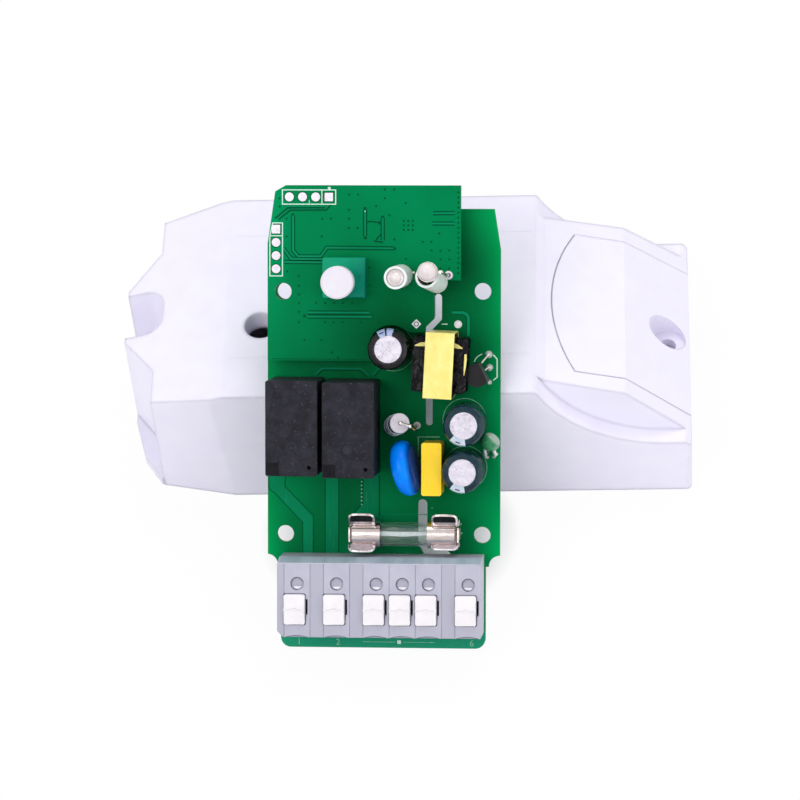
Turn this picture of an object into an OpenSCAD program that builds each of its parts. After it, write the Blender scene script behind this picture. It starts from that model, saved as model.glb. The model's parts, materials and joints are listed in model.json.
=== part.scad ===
// Twin-channel relay module: a closed plastic case lying on its base, with its circuit board
// assembly taken out and leaning on the front top edge of the case.
// Lengths in millimetres. Origin on the floor under the middle of the whole, X along the case.

/* [Case] */
// Length of the case
case_l = 114; // [108:1:124]
// Width of the case at its foot
case_w = 52; // [51:0.5:58]
// Height of the case
case_h = 32; // [31:0.5:36]
// Wall thickness of the mouldings
wall_t = 2; // [1.6:0.1:2.4]
// How far each long wall leans in over its height
side_draft = 0.5; // [0.2:0.1:1]
// Length of the sloping nose at the left end
nose_run = 21.2; // [18:0.2:24]
// Height of the nose at its tip
nose_h = 25.9; // [24:0.1:28]
// Length of the chamfered tip
tip_run = 6.5; // [5:0.1:7.5]
// How far each side is drawn in at the nose
nose_in = 2.8; // [1:0.1:3.5]
// Width across the shoulders where the tip's chamfers start
cheek_w = 30.4; // [26:0.2:34]
// Width of the tongue at the tip
tongue_w = 13.1; // [12.6:0.1:16]
// Width of the screwdriver notch in the tongue
notch_w = 10.8; // [9:0.1:11.5]
// Depth of the notch from the tip
notch_run = 7.65; // [6.6:0.05:8.4]
// Corner radius in the notch
notch_r = 3.8; // [2:0.1:4]

/* [Tail of the case] */
// Distance from the right end back to the roof's edge
tail_run = 30.9; // [30:0.1:33]
// Length and drop of the short step below the roof
step_run = 1.9; // [1.5:0.1:2.5]
step_drop = 1.8; // [1:0.1:2.2]
// Length and drop of the gentle ramp
ramp_run = 16; // [14:0.2:18]
ramp_drop = 4.2; // [3:0.1:5]
// Height of the tail's end
end_h = 14.3; // [13.8:0.1:16]
// Width of the raised block between the side ledges
block_w = 42; // [40:0.5:46]
// How much wider each side of the block is at its foot
block_flare = 1.2; // [0.5:0.1:1.6]
// Radius of the hollow ledges
ledge_r = 28.1; // [26:0.1:30]
// Height of the ledges at their low end
ledge_h = 15.3; // [14.8:0.1:17]
// Length of the level end of the ledges
ledge_flat = 5; // [3:0.5:8]

/* [Terminal cover] */
// Width of the cover at its inner end
cover_w = 35.4; // [32:0.2:37]
// How much wider the cover is at the case end, each side
cover_flare = 0.7; // [0:0.1:1]
// Depth of the cover's curved end
cover_bow = 4.7; // [3:0.1:6]
// Distance from the right end to the corners of the cover
cover_run = 23.1; // [21:0.1:24]
// Running gap round the cover
cover_gap = 0.25; // [0.2:0.05:0.4]
// Distance of the cover screw from the right end
screw_in = 4.5; // [4.2:0.1:6]
// Diameter of the counterbore for the screw's head
screw_head_d = 7.3; // [6.5:0.1:7.6]
// Diameter of the screw's clearance hole
screw_hole_d = 3.4; // [3.2:0.1:3.8]
// Height of the counterbore's floor
screw_floor_z = 13.9; // [13:0.1:14]
// Width and height of each cable entry
entry_w = 12; // [9:0.5:13]
entry_h = 6; // [4.5:0.1:6.5]
// Distance of each cable entry from the middle
entry_off = 10.8; // [10.5:0.1:11.5]

/* [Base plate] */
// Thickness of the base plate
base_t = 2; // [1.6:0.1:2.4]
// Gap between base plate and case walls
base_gap = 0.15; // [0.1:0.05:0.3]
// Half width of the base's rounded nose at its tip
ear_tip = 8.5; // [7:0.1:10]
// Diameter of the wall screw's hole
wall_screw_d = 4.2; // [3.6:0.1:5]
// Diameter of the pillars that carry the board
pillar_d = 6.6; // [6.4:0.1:7.4]
// Height of the board's underside above the floor when it is in the case
board_seat_z = 8.4; // [7.5:0.1:9.5]

/* [Circuit board] */
// Gap between the board's long edges and the case walls
board_side_gap = 1.1; // [0.8:0.1:1.5]
// Length of the main board
board_l = 86.4; // [85:0.1:89]
// Thickness of the main board
board_t = 1.6; // [1.2:0.1:2]
// How much narrower the board is under the terminals
neck_in = 5.4; // [5:0.1:6]
// Length of the neck
neck_l = 16.2; // [15.5:0.1:17]
// Distance of the fixing holes from the long edges
hole_edge = 3.5; // [3.3:0.1:4]
// Pattern of the fixing holes
hole_dy = 47.85; // [47:0.05:49]
hole_y = 23.24; // [23:0.01:24]
hole_d = 3.3; // [3:0.1:3.5]
// Gap between the two boards
board_gap = 3; // [2.6:0.1:3.4]
// Thickness of the control board
control_t = 1.2; // [1:0.1:1.6]
// Lean of the board from the floor, in degrees
lean = 40.7; // [37:0.1:44]
// Turn of the board on the floor, in degrees
turn = -1.5; // [-3:0.1:0]
// Where the middle of the board stands along the case
board_x = -4.4; // [-10:0.1:4]
// Smallest gap between the leaning board and the case edge
lean_gap = 0.12; // [0.1:0.01:0.4]

/* [Terminal block] */
// Width of the block
block_x = 39.6; // [39.4:0.1:41]
// Depth and height of the block
block_y = 15.3; // [14.8:0.1:15.6]
block_h = 12; // [11.5:0.1:13]
// Distance of the block from the board's lower end
block_in = 3.4; // [3:0.1:3.8]
// Close and wide pitch of the ways
pitch_close = 5.08; // [5:0.01:5.1]
pitch_wide = 7.7; // [7.5:0.05:7.75]
// Size of a release button
key_w = 4.1; // [3.8:0.1:4.2]
key_l = 5.9; // [5.5:0.1:6.2]
// Height of the buttons above the block
key_up = 1.2; // [0.9:0.1:1.6]
// Travel of a release button
key_travel = 1.5; // [1:0.1:1.6]
// Diameter of the wire entries
wire_d = 3.6; // [3.2:0.1:3.8]
// Diameter of the test holes
probe_d = 2.6; // [2.2:0.1:2.8]

/* [Switch and lamps] */
// Diameter of the push button's cap
cap_d = 6.3; // [5.8:0.1:6.6]
// Height of the cap's top above the main board
cap_top = 20; // [18:0.1:21]
// Travel of the push button
cap_travel = 0.5; // [0.3:0.05:0.6]
// Diameter and height of the upright lamp tube
lamp_d = 4.4; // [4:0.1:4.8]
lamp_h = 14.8; // [12:0.1:15.4]

/* [Components] */
// Width, length and height of a relay
relay_w = 10.1; // [9.8:0.1:10.2]
relay_l = 18.5; // [18:0.1:18.8]
relay_h = 15.3; // [14:0.1:16]
// Diameter and height of the electrolytic capacitors
can_d = 8; // [7.6:0.1:8.1]
can_h = 12; // [11:0.1:13]
// Length and diameter of the glass fuse
fuse_l = 20; // [19.5:0.1:20.4]
fuse_d = 5.2; // [5:0.1:5.3]
// Height of the fuse's centre line
fuse_z = 4.6; // [4.4:0.1:5]
// Length, width and height of the transformer core
core_l = 12.4; // [12:0.1:12.8]
core_w = 5.4; // [5:0.1:5.6]
core_h = 11.9; // [11.5:0.1:12.4]
// Diameter and thickness of the varistor disc
varistor_d = 11; // [10:0.1:11.4]
varistor_t = 4.2; // [3.6:0.1:4.4]
// Width, length and height of the film capacitor
film_w = 3.9; // [3.6:0.1:4]
film_l = 10.3; // [9.8:0.1:10.5]
film_h = 9; // [8:0.1:10]

/* [Hidden] */
$fn = 48;
eps = 0.01;
half_l = case_l / 2;
half_w = case_w / 2;
roof_x0 = -half_l + nose_run;
roof_x1 = half_l - tail_run;
step_x = roof_x1 + step_run;
step_z = case_h - step_drop;
ramp_x = step_x + ramp_run;
ramp_z = step_z - ramp_drop;
shoulder_x = -half_l + tip_run;
shoulder_hw = half_w - nose_in;
reach = case_l + case_w;

// Place of the board in the case: its far end lies over the pillars, terminals under the cover
seat_x = 44.5;
board_w = case_w - 2 * (wall_t + board_side_gap);
hole_x = board_w / 2 - hole_edge;
neck_w = board_w - neck_in;
pillar_x0 = seat_x - hole_y;
pillar_x1 = seat_x - hole_y - hole_dy;
boss_z = board_seat_z + board_t + 0.2;

// Pose of the leaning board
near_gap = lean_gap + board_w / 2 * sin(abs(turn)) * sin(lean);
board_z = board_t * cos(lean);
edge_y = -half_w + side_draft;
edge_drop = (case_h - board_z) * cos(lean) + board_t + near_gap;
board_y = edge_y - edge_drop / sin(lean);

// Lengths along the board count from a line just below its lower end
end_y = 0.8;
block_mid = 0.02;
block_x1 = block_mid + block_x / 2;
block_y0 = end_y + block_in;
block_y1 = block_y0 + block_y;

// Middle of the whole, front to back: the front is the terminal block's top edge
front_y = board_y + cos(turn) * (block_in * cos(lean) - block_h * sin(lean)) + sin(turn) * block_x1;
case_y = -(front_y + half_w) / 2;

// Heights on the board
deck = board_gap + control_t;
lead_r = 0.3;
pin_out = 1.2;

// Ways of the terminal block
way_x0 = -15.85;
way_gaps = [pitch_wide, pitch_wide, pitch_close, pitch_close, pitch_wide];
function way_x(i) = i == 0 ? way_x0 : way_x(i - 1) + way_gaps[i - 1];
ways = [0:5];
key_off = -0.5;
key_y = 9.65;
key_gap = 0.15;
key_h = 6.2;
probe_y = 14.65;
wire_z = 3.5;
wire_depth = 9;
cell_w = 3.2;
cell_l = 3.6;
cell_y = probe_y - 0.3;
// Contact bars and springs in the cells
bar_w = cell_w - 1;
bar_t = 0.5;
bar_top = block_h - 4.6;
prong_t = 0.5;
prong_w = 1.6;
prong_y = probe_y - probe_d / 2 + 0.45;
prong_top = block_h - 1.1;
spring_w = cell_w - 0.8;
spring_t = 0.3;
spring_h = 0.4 * cell_l;
spring_l = 0.55 * cell_l;

// Places of the parts on the main board
switch_at = [-7.4, 73.3];
guide_at = [-7.1, 73.9];
guide_w = 8.3;
guide_l = 7.8;
guide_h = 4.4;
lamp_at = [3.75, 74.25];
tilt_lamp_at = [10.7, 73.0];
tilt_lamp_d = 4.3;
tilt_lamp_h = 12;
tilt_lamp_lean = 8.8;
tilt_lamp_turn = 131.5;
lamp_wall = 0.45;
relay_1_at = [-16.65, 45.0];
relay_2_at = [-5.7, 44.7];
output_can_at = [1.75, 60.2];
input_can_1_at = [16.4, 45.5];
input_can_2_at = [16.15, 36.4];
core_at = [11.6, 57.1];
core_turn = -2.9;
diode_at = [1.9, 44.7];
diode_lean = 15;
diode_turn = 29;
diode_r = 1.95;
diode_l = 9;
diode_z = 1.3;
varistor_at = [4.95, 36.9];
varistor_turn = 13.5;
varistor_lean = -9;
film_at = [10.0, 36.8];
transistor_at = [19.0, 55.2];
transistor_turn = 26;
drop_at = [21.2, 41.6];
fuse_at = [4.4, 23.7];
clip_l = 5;
clip_off = 8.1;
clip_t = 0.3;

// Frames: the case stands as it lies on the floor, the board leans on it
module in_case() translate([0, case_y, 0]) children();
module on_board() in_case() translate([board_x, board_y, board_z])
    rotate([0, 0, turn]) rotate([lean, 0, 0]) translate([0, -end_y, 0]) children();
module at(p, z = 0) translate([p[0], p[1], z]) children();

// Plane helpers
function unit(v) = v / norm(v);
// A counterclockwise outline with every side moved in by d
function inset(pts, d) = let (n = len(pts)) [for (i = [0:n - 1])
    let (b = pts[i], u = unit(b - pts[(i + n - 1) % n]), v = unit(pts[(i + 1) % n] - b),
        nu = [-u[1], u[0]], nv = [-v[1], v[0]])
    b + d * (nu + nv) / (1 + nu * nv)];

module round_rect(w, l, r) {
    square([w - 2 * r, l], center = true);
    square([w, l - 2 * r], center = true);
    for (x = [-1, 1]) for (y = [-1, 1]) translate([x * (w / 2 - r), y * (l / 2 - r)]) circle(r);
}
module block_round(w, l, h, r) linear_extrude(h) round_rect(w, l, r);
// A straight slot between two points
module run2d(a, b, w) {
    translate(a) rotate(atan2(b[1] - a[1], b[0] - a[0])) translate([0, -w / 2]) square([norm(b - a), w]);
    translate(a) circle(w / 2);
    translate(b) circle(w / 2);
}
// A round bar between two points
module rod(a, b, r = lead_r) {
    d = b - a;
    translate(a) rotate([0, acos(d[2] / norm(d)), atan2(d[1], d[0])])
        cylinder(h = norm(d), r = r, $fn = 24);
}
// A lead through several points, a little fuller at each bend and slimmer after it
bend_swell = 1.15;
bend_draw = 0.9;
module wire(pts, r = lead_r) {
    for (i = [0:len(pts) - 2]) rod(pts[i], pts[i + 1], r * (i % 2 == 0 ? 1 : bend_draw));
    for (i = [1:1:len(pts) - 2]) translate(pts[i]) sphere(r * bend_swell, $fn = 24);
}

// Outlines of the case
function side_points(drop) = [[-half_l, -drop], [half_l, -drop], [half_l, end_h], [ramp_x, ramp_z],
    [step_x, step_z], [roof_x1, case_h], [roof_x0, case_h], [-half_l, nose_h]];
// The plan is a touch wider and longer than the walls, which then cut it everywhere
plan_over = 0.3;
plan_hw = half_w + plan_over;
plan_end = half_l + plan_over;
plan_x = roof_x0 + plan_over * (nose_run - tip_run) / nose_in;
function plan_points() = [[-half_l, -tongue_w / 2], [shoulder_x, -cheek_w / 2], [shoulder_x, -shoulder_hw],
    [plan_x, -plan_hw], [plan_end, -plan_hw], [plan_end, plan_hw], [plan_x, plan_hw],
    [shoulder_x, shoulder_hw], [shoulder_x, cheek_w / 2], [-half_l, tongue_w / 2]];
function end_points(drop) = let (foot = half_w + side_draft * drop / case_h)
    [[-foot, -drop], [foot, -drop], [half_w - side_draft, case_h], [-half_w + side_draft, case_h]];
corner_r = 2.2;

// Solid form of the case, every face moved in by d, its foot carried down by drop first
module case_form(d, drop = 0) {
    difference() {
        intersection() {
            translate([0, reach / 2, 0]) rotate([90, 0, 0]) linear_extrude(reach)
                polygon(inset(side_points(drop), d));
            translate([0, 0, -drop]) linear_extrude(case_h + drop) case_plan(d);
            translate([-reach / 2, 0, 0]) rotate([90, 0, 90]) linear_extrude(reach)
                polygon(inset(end_points(drop), d));
        }
        for (s = [0, 1]) mirror([0, s, 0]) ledge_cut(d);
    }
}
module case_plan(d) {
    r = max(corner_r - d, 0.2);
    difference() {
        polygon(inset(plan_points(), d));
        for (s = [-1, 1]) translate([plan_end - d - r / 2, s * (plan_hw - d - r / 2)])
            square(r + eps, center = true);
    }
    for (s = [-1, 1]) translate([plan_end - d - r, s * (plan_hw - d - r)]) circle(r);
}
// Room over one side ledge: a hollow curve along the case, beside the flared block
module ledge_cut(d) {
    ledge_x = half_l - ledge_flat;
    ledge_cz = ledge_h + ledge_r;
    intersection() {
        rotate([90, 0, 0]) linear_extrude(half_w + 5) {
            translate([ledge_x, ledge_cz]) circle(ledge_r + d, $fn = 96);
            translate([ledge_x, ledge_h - d]) square([ledge_flat + 5, case_h]);
        }
        translate([roof_x1 - 4, 0, 0]) rotate([90, 0, 90]) linear_extrude(case_l)
            polygon([[-half_w - 4, 0], [-block_w / 2 - block_flare + d, 0],
                [-block_w / 2 - block_flare + d, ledge_h], [-block_w / 2 + d, step_z],
                [-block_w / 2 + d, case_h + 5], [-half_w - 4, case_h + 5]]);
    }
}
// Screwdriver notch in the tongue
module notch_plan(grow) {
    r = notch_r;
    w = notch_w + 2 * grow;
    x1 = -half_l + notch_run + grow;
    translate([-half_l - 5, -w / 2]) square([x1 - r + half_l + 5, w]);
    translate([-half_l, -w / 2 + r]) square([x1 + half_l, w - 2 * r]);
    for (s = [-1, 1]) translate([x1 - r, s * (w / 2 - r)]) circle(r);
}
// Outline of the terminal cover, seen from above, moved out by g
module cover_plan(g) {
    x0 = half_l - cover_run;
    hw = cover_w / 2;
    bow_r = (hw * hw + cover_bow * cover_bow) / (2 * cover_bow);
    past = half_l + 5;
    polygon([[x0, -hw - g], [ramp_x, -hw - g], [half_l, -hw - cover_flare - g],
        [past, -hw - cover_flare - g], [past, hw + cover_flare + g],
        [half_l, hw + cover_flare + g], [ramp_x, hw + g], [x0, hw + g]]);
    intersection() {
        translate([x0 - cover_bow + bow_r, 0]) circle(bow_r + g, $fn = 96);
        translate([x0 - cover_bow - 1, -hw - g]) square([cover_bow + 1 + eps, 2 * hw + 2 * g]);
    }
}
cover_shelf = 1.5;
shelf_t = 1.2;
panel_hw = 15.7;
groove_w = 0.3;
groove_d = 0.15;
button_hole_d = cap_d + 0.2;
button_spot = [seat_x - switch_at[1], switch_at[0]];
collar_h = 5;
collar_t = 1.2;
rib_t = 1.2;
roof_ribs = [roof_x0 + 16, 0, roof_x1 - 8];
// The base's nose shows as a flange beyond the case's chamfered tip
function ear_points() = [[-half_l, -ear_tip], [-half_l + 2.4, -ear_tip - 9.1],
    [shoulder_x - 0.4, -shoulder_hw + 0.1], [shoulder_x + 3.5, -shoulder_hw + 2.4],
    [shoulder_x + 3.5, shoulder_hw - 2.4], [shoulder_x - 0.4, shoulder_hw - 0.1],
    [-half_l + 2.4, ear_tip + 9.1], [-half_l, ear_tip]];
pillar_spots = [for (x = [pillar_x0, pillar_x1]) for (y = [-hole_x, hole_x]) [x, y]];
cover_screw_at = [half_l - screw_in, 0];
pilot_r = 1.25;

module top_shell() color([0.93, 0.93, 0.96]) in_case() {
    difference() {
        union() {
            // Walls and roof, open below for the base plate
            difference() {
                case_form(0);
                case_form(wall_t, wall_t + 1);
            }
            // Wall round the notch
            intersection() {
                case_form(0);
                linear_extrude(case_h) notch_plan(wall_t);
            }
            // Shelf under the rim of the cover's opening
            intersection() {
                case_form(wall_t / 2);
                difference() {
                    translate([0, 0, base_t + base_gap]) linear_extrude(case_h) cover_plan(wall_t);
                    case_form(wall_t + shelf_t, wall_t + shelf_t + 1);
                }
            }
            // Screw bosses that come down on the board
            for (p = pillar_spots) intersection() {
                at(p, boss_z) cylinder(h = case_h, d = pillar_d);
                case_form(wall_t / 2);
            }
            // Collar that guides the push button
            intersection() {
                at(button_spot, case_h - collar_h) cylinder(h = collar_h, d = button_hole_d + 2 * collar_t);
                case_form(wall_t / 2);
            }
            // Ribs that stiffen the roof
            for (x = roof_ribs) intersection() {
                at([x, 0], case_h - wall_t - 1.5) cube([rib_t, case_w, 4], center = true);
                case_form(wall_t / 2);
            }
        }
        // Notch right through
        translate([0, 0, -1]) linear_extrude(case_h + 2) notch_plan(0);
        // The base's nose lies under the tip
        translate([0, 0, -1]) linear_extrude(1 + base_t + base_gap) polygon(inset(ear_points(), -base_gap));
        // Opening for the terminal cover
        difference() {
            translate([0, 0, base_t]) linear_extrude(case_h) cover_plan(0);
            case_form(wall_t);
        }
        translate([0, 0, base_t + base_gap]) linear_extrude(case_h) cover_plan(-cover_shelf);
        // Push-button hole
        at(button_spot, case_h - 9) cylinder(h = 10, d = button_hole_d);
        // Pilot holes for the base screws
        for (p = pillar_spots) at(p, boss_z - 1) cylinder(h = 13, r = pilot_r);
        // Fine panel lines on the roof
        for (s = [-1, 1]) translate([(roof_x0 + roof_x1) / 2, s * panel_hw, case_h])
            cube([roof_x1 - roof_x0 - 2, groove_w, 2 * groove_d], center = true);
    }
}

screw_head_r = 2.8;
screw_head_h = 2.2;
screw_head_z = 3;
screw_r = 1.2;
module base_plate() color([0.92, 0.92, 0.95]) in_case() {
    tail_gap = wall_t + base_gap;
    difference() {
        union() {
            linear_extrude(base_t) {
                case_plan(tail_gap + plan_over);
                polygon(ear_points());
            }
            // Pillars that carry the board
            for (p = pillar_spots) at(p) cylinder(h = board_seat_z, d = pillar_d);
            // Pillar for the cover screw, clear of the end wall
            at(cover_screw_at) cylinder(h = screw_floor_z - wall_t - 0.1, r = screw_in - tail_gap);
            // Ribs across the cable floor, which grip the sheaths
            for (x = [half_l - 12, half_l - 16]) for (s = [-1, 1])
                at([x, s * entry_off], base_t + 0.5) cube([rib_t, entry_w, 1], center = true);
            // Side ribs that stop the board
            for (s = [-1, 1]) at([-10, s * (half_w - tail_gap - 3)], base_t + 1.5)
                cube([28, rib_t, 3 + eps], center = true);
        }
        // Screw clearance and head recess, from below
        for (p = pillar_spots) {
            at(p, -1) cylinder(h = board_seat_z + 2, r = screw_r + 0.4);
            at(p, -1) cylinder(h = 1 + screw_head_z, r = screw_head_r + 0.4);
        }
        at(cover_screw_at, base_t) cylinder(h = case_h, r = pilot_r);
        // Wall screw hole in the notch
        translate([-half_l + notch_run / 2 - 0.2, 0, -1]) cylinder(h = base_t + 2, d = wall_screw_d);
    }
}

module base_screws() color([0.75, 0.75, 0.77]) in_case()
    for (p = pillar_spots) at(p, screw_head_z - screw_head_h) {
        difference() {
            cylinder(h = screw_head_h, r = screw_head_r);
            for (a = [0, 90]) rotate(a) translate([0, 0, 0.5]) cube([3.4, 0.8, 1.2], center = true);
        }
        cylinder(h = board_seat_z + 2, r = screw_r);
    }

module terminal_cover() color([0.94, 0.94, 0.97]) in_case() {
    difference() {
        union() {
            // Skin, with the end wall down to the base plate
            intersection() {
                difference() {
                    case_form(0);
                    case_form(wall_t - cover_gap);
                }
                translate([0, 0, base_t + cover_gap]) linear_extrude(case_h) cover_plan(-cover_gap);
            }
            // Boss for the screw
            intersection() {
                case_form(0);
                at(cover_screw_at, screw_floor_z - wall_t) cylinder(h = case_h, d = screw_head_d + 2.4);
            }
        }
        at(cover_screw_at, screw_floor_z) cylinder(h = case_h, d = screw_head_d);
        at(cover_screw_at) cylinder(h = case_h, d = screw_hole_d);
        // Cable entries with rounded tops
        for (s = [-1, 1]) translate([half_l - 6, s * entry_off, 0]) rotate([90, 0, 90]) linear_extrude(10) {
            translate([-entry_w / 2, 0]) square([entry_w, base_t + entry_h - 2]);
            translate([0, base_t + entry_h / 2]) round_rect(entry_w, entry_h, 2);
        }
        // The end corners follow the case's side, so the tail of the skirt is trimmed
        for (s = [-1, 1]) at([half_l - wall_t - 6, s * (half_w + 4)]) cube([8, 12, 10], center = true);
    }
}

// Main board outline
neck_x = -0.1;
board_top = end_y + board_l;
neck_top = end_y + neck_l;
top_chamfer_y = 8;
top_chamfer_x = 1.25;
neck_r = 2.2;
slot_w = 1.4;
slot_pts = [[10.7, 69.9], [10.7, 65.85], [8.85, 63.9], [8.9, 45.4]];
module main_outline() {
    difference() {
        union() {
            polygon([[-board_w / 2, neck_top], [board_w / 2, neck_top],
                [board_w / 2, board_top - top_chamfer_y], [board_w / 2 - top_chamfer_x, board_top],
                [-board_w / 2 + top_chamfer_x, board_top],
                [-board_w / 2, board_top - top_chamfer_y]]);
            translate([neck_x, end_y + (neck_l + 3) / 2]) round_rect(neck_w, neck_l + 3, 2);
        }
        // Hollow corners where the board narrows
        for (s = [-1, 1]) translate([s * (board_w / 2 + 0.1) + neck_x, neck_top]) circle(neck_r);
    }
}
module main_board() color([0.03, 0.36, 0.2]) on_board() translate([0, 0, -board_t]) linear_extrude(board_t)
    difference() {
        main_outline();
        for (x = [-hole_x, hole_x]) for (y = [0, hole_dy]) translate([x, hole_y + y]) circle(d = hole_d);
        // Isolation slots
        for (i = [0:2]) run2d(slot_pts[i], slot_pts[i + 1], slot_w);
        polygon([[6.75, 29.3], [6.75, 21.3], [9.4, 16.8], [15.9, 16.8], [12.05, 20.7], [9.2, 21.6],
            [8.6, 22.4], [8.6, 29.3]]);
        translate([7.675, 29.3]) circle(0.925);
    }

control_w = 37.8;
control_y0 = 57.6;
lamp_pad = [12.95, 74.35];
control_y1 = 91.8;
control_x0 = -22.45;
module control_outline() difference() {
    polygon([[control_x0, control_y0], [8.5, control_y0], [8.5, 64.2], [10.2, 65.9], [10.2, 73.35],
        [control_x0 + control_w, 73.35], [control_x0 + control_w, control_y1],
        [control_x0 + 3.6, control_y1], [control_x0 + 1.5, control_y1 - 1.2],
        [control_x0, control_y1 - 11.4]]);
    // Room for the capacitor and the transformer
    translate(output_can_at) circle(can_d / 2 + 0.4);
    translate([output_can_at[0], control_y0 - 1]) square([20, 63.2 - control_y0 + 1]);
}
pad_pitch = 2.58;
row_at = [-18.18, 89.55];
column_at = [-20.77, 83.23];
pad_r = 0.5;
module control_board() color([0.03, 0.42, 0.24]) on_board() at([0, 0], board_gap) linear_extrude(control_t)
    difference() {
        control_outline();
        // Unused header holes
        for (i = [0:3]) translate(row_at + [i * pad_pitch, 0]) circle(pad_r, $fn = 24);
        for (i = [0:3]) translate(column_at - [0, i * pad_pitch]) circle(pad_r, $fn = 24);
        // Fixing hole passes through both boards
        translate([-hole_x, hole_y + hole_dy]) circle(d = hole_d);
        // Lamp lead holes
        translate(lamp_pad) circle(0.45, $fn = 24);
    }

header_spots = [[-14, 60], [-2.5, 82], [-14, 82]];
pin_pitch = 2.54;
module board_headers() color([0.08, 0.08, 0.09]) on_board()
    for (p = header_spots) at(p, 0) difference() {
        translate([-2 * pin_pitch, -1.25, 0]) cube([4 * pin_pitch, 2.5, board_gap - 0.02]);
        for (i = [0:3]) at([(i - 1.5) * pin_pitch, 0], -1) cylinder(h = board_gap + 2, r = 0.36, $fn = 24);
    }
module header_pins() color([0.8, 0.7, 0.35]) on_board()
    for (p = header_spots) at(p, 0) for (i = [0:3])
        at([(i - 1.5) * pin_pitch, 0]) cylinder(h = board_gap - 0.02, r = 0.32, $fn = 24);

switch_h = 3.4;
switch_w = 6;
stem_r = 2;
plunger_r = 1.6;
module switch_guide() color([0.1, 0.5, 0.42]) on_board() at(guide_at, deck) difference() {
    block_round(guide_w, guide_l, guide_h, 0.4);
    at(switch_at - guide_at, -1) block_round(switch_w + 0.2, switch_w + 0.2, switch_h + 1.2, 0.2);
    at(switch_at - guide_at, 0) cylinder(h = guide_h + 1, r = stem_r + 0.3);
}
module tact_switch() color([0.2, 0.2, 0.22]) on_board() at(switch_at, deck) difference() {
    union() {
        block_round(switch_w, switch_w, switch_h - 0.3, 0.1);
        cylinder(h = switch_h, r = plunger_r + 0.8);
    }
    translate([0, 0, switch_h - 1.4]) cylinder(h = 2, r = plunger_r + 0.15);
}
cap_h = 3.6;
module button_cap() color([0.97, 0.97, 0.97]) on_board() at(switch_at, 0) {
    translate([0, 0, cap_top - cap_h]) rotate_extrude() polygon([[0, 0], [cap_d / 2, 0],
        [cap_d / 2, cap_h - 0.3], [cap_d / 2 - 0.3, cap_h], [0, cap_h]]);
    stem_z = deck + switch_h + 0.3 + cap_travel;
    translate([0, 0, stem_z]) cylinder(h = cap_top - cap_h - stem_z, r = stem_r);
    translate([0, 0, deck + switch_h - 0.7]) cylinder(h = 2, r = plunger_r);
}

module lamp_tube(d, h) difference() {
    cylinder(h = h, d = d);
    translate([0, 0, -1]) cylinder(h = h + 2, r = d / 2 - lamp_wall);
}
module lamp_tube_left() color([0.93, 0.94, 0.93]) on_board() at(lamp_at, deck) lamp_tube(lamp_d, lamp_h);
module tilt_lamp() at(tilt_lamp_at, deck + 0.4) rotate([0, tilt_lamp_lean, tilt_lamp_turn]) children();
module lamp_tube_right() color([0.93, 0.94, 0.93]) on_board() tilt_lamp()
    lamp_tube(tilt_lamp_d, tilt_lamp_h);
// Lamp body: flange, barrel and dome
module lamp(r, h) {
    cylinder(h = 0.8, r = r + 0.15);
    translate([0, 0, 0.8]) cylinder(h = h, r = r);
    translate([0, 0, 0.8 + h]) intersection() {
        sphere(r);
        translate([0, 0, r]) cube(2 * r, center = true);
    }
}
lamp_r = 1.4;
module lamp_left() color([0.95, 0.92, 0.9]) on_board() at(lamp_at, deck + lamp_h - 3.4) lamp(lamp_r, 1.4);
module lamp_right() color([0.95, 0.92, 0.9]) on_board() tilt_lamp()
    translate([0.39, -0.85, tilt_lamp_h + 0.05]) lamp(1.82, 0.9);

module chip(w, l, h) color([0.06, 0.06, 0.07]) block_round(w, l, h, 0.15);
module wifi_chip() on_board() at([5.7, 80], board_gap - 0.9) chip(5, 5, 0.9);
module flash_chip() on_board() at([-3.5, 66], board_gap - 1.4) chip(5.2, 4, 1.4);
module crystal() color([0.75, 0.75, 0.76]) on_board() at([9.8, 84], board_gap - 0.8)
    block_round(3.2, 2.5, 0.8, 0.3);

// Relay: base with a step, case with its marks
module relay(w, l, h) {
    block_round(w - 0.3, l - 0.3, 1.4, 0.3);
    difference() {
        translate([0, 0, 0.7]) block_round(w, l, h - 0.7, 0.5);
        // Stepped corner, round gate mark and vent dot on the top
        translate([-w / 2 - 1, -l / 2 - 1, h - 0.25]) cube([3.7, 3.7, 1]);
        translate([0, -3.8, h - 0.15]) cylinder(h = 1, r = 1.3);
        translate([w / 2 - 1.6, -l / 2 + 1.7, h - 0.5]) cylinder(h = 1, r = 0.4, $fn = 24);
    }
}
module relay_1() color([0.05, 0.05, 0.06]) on_board() at(relay_1_at) relay(relay_w, relay_l, relay_h);
module relay_2() color([0.05, 0.05, 0.06]) on_board() at(relay_2_at) relay(relay_w, relay_l, relay_h);

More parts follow.
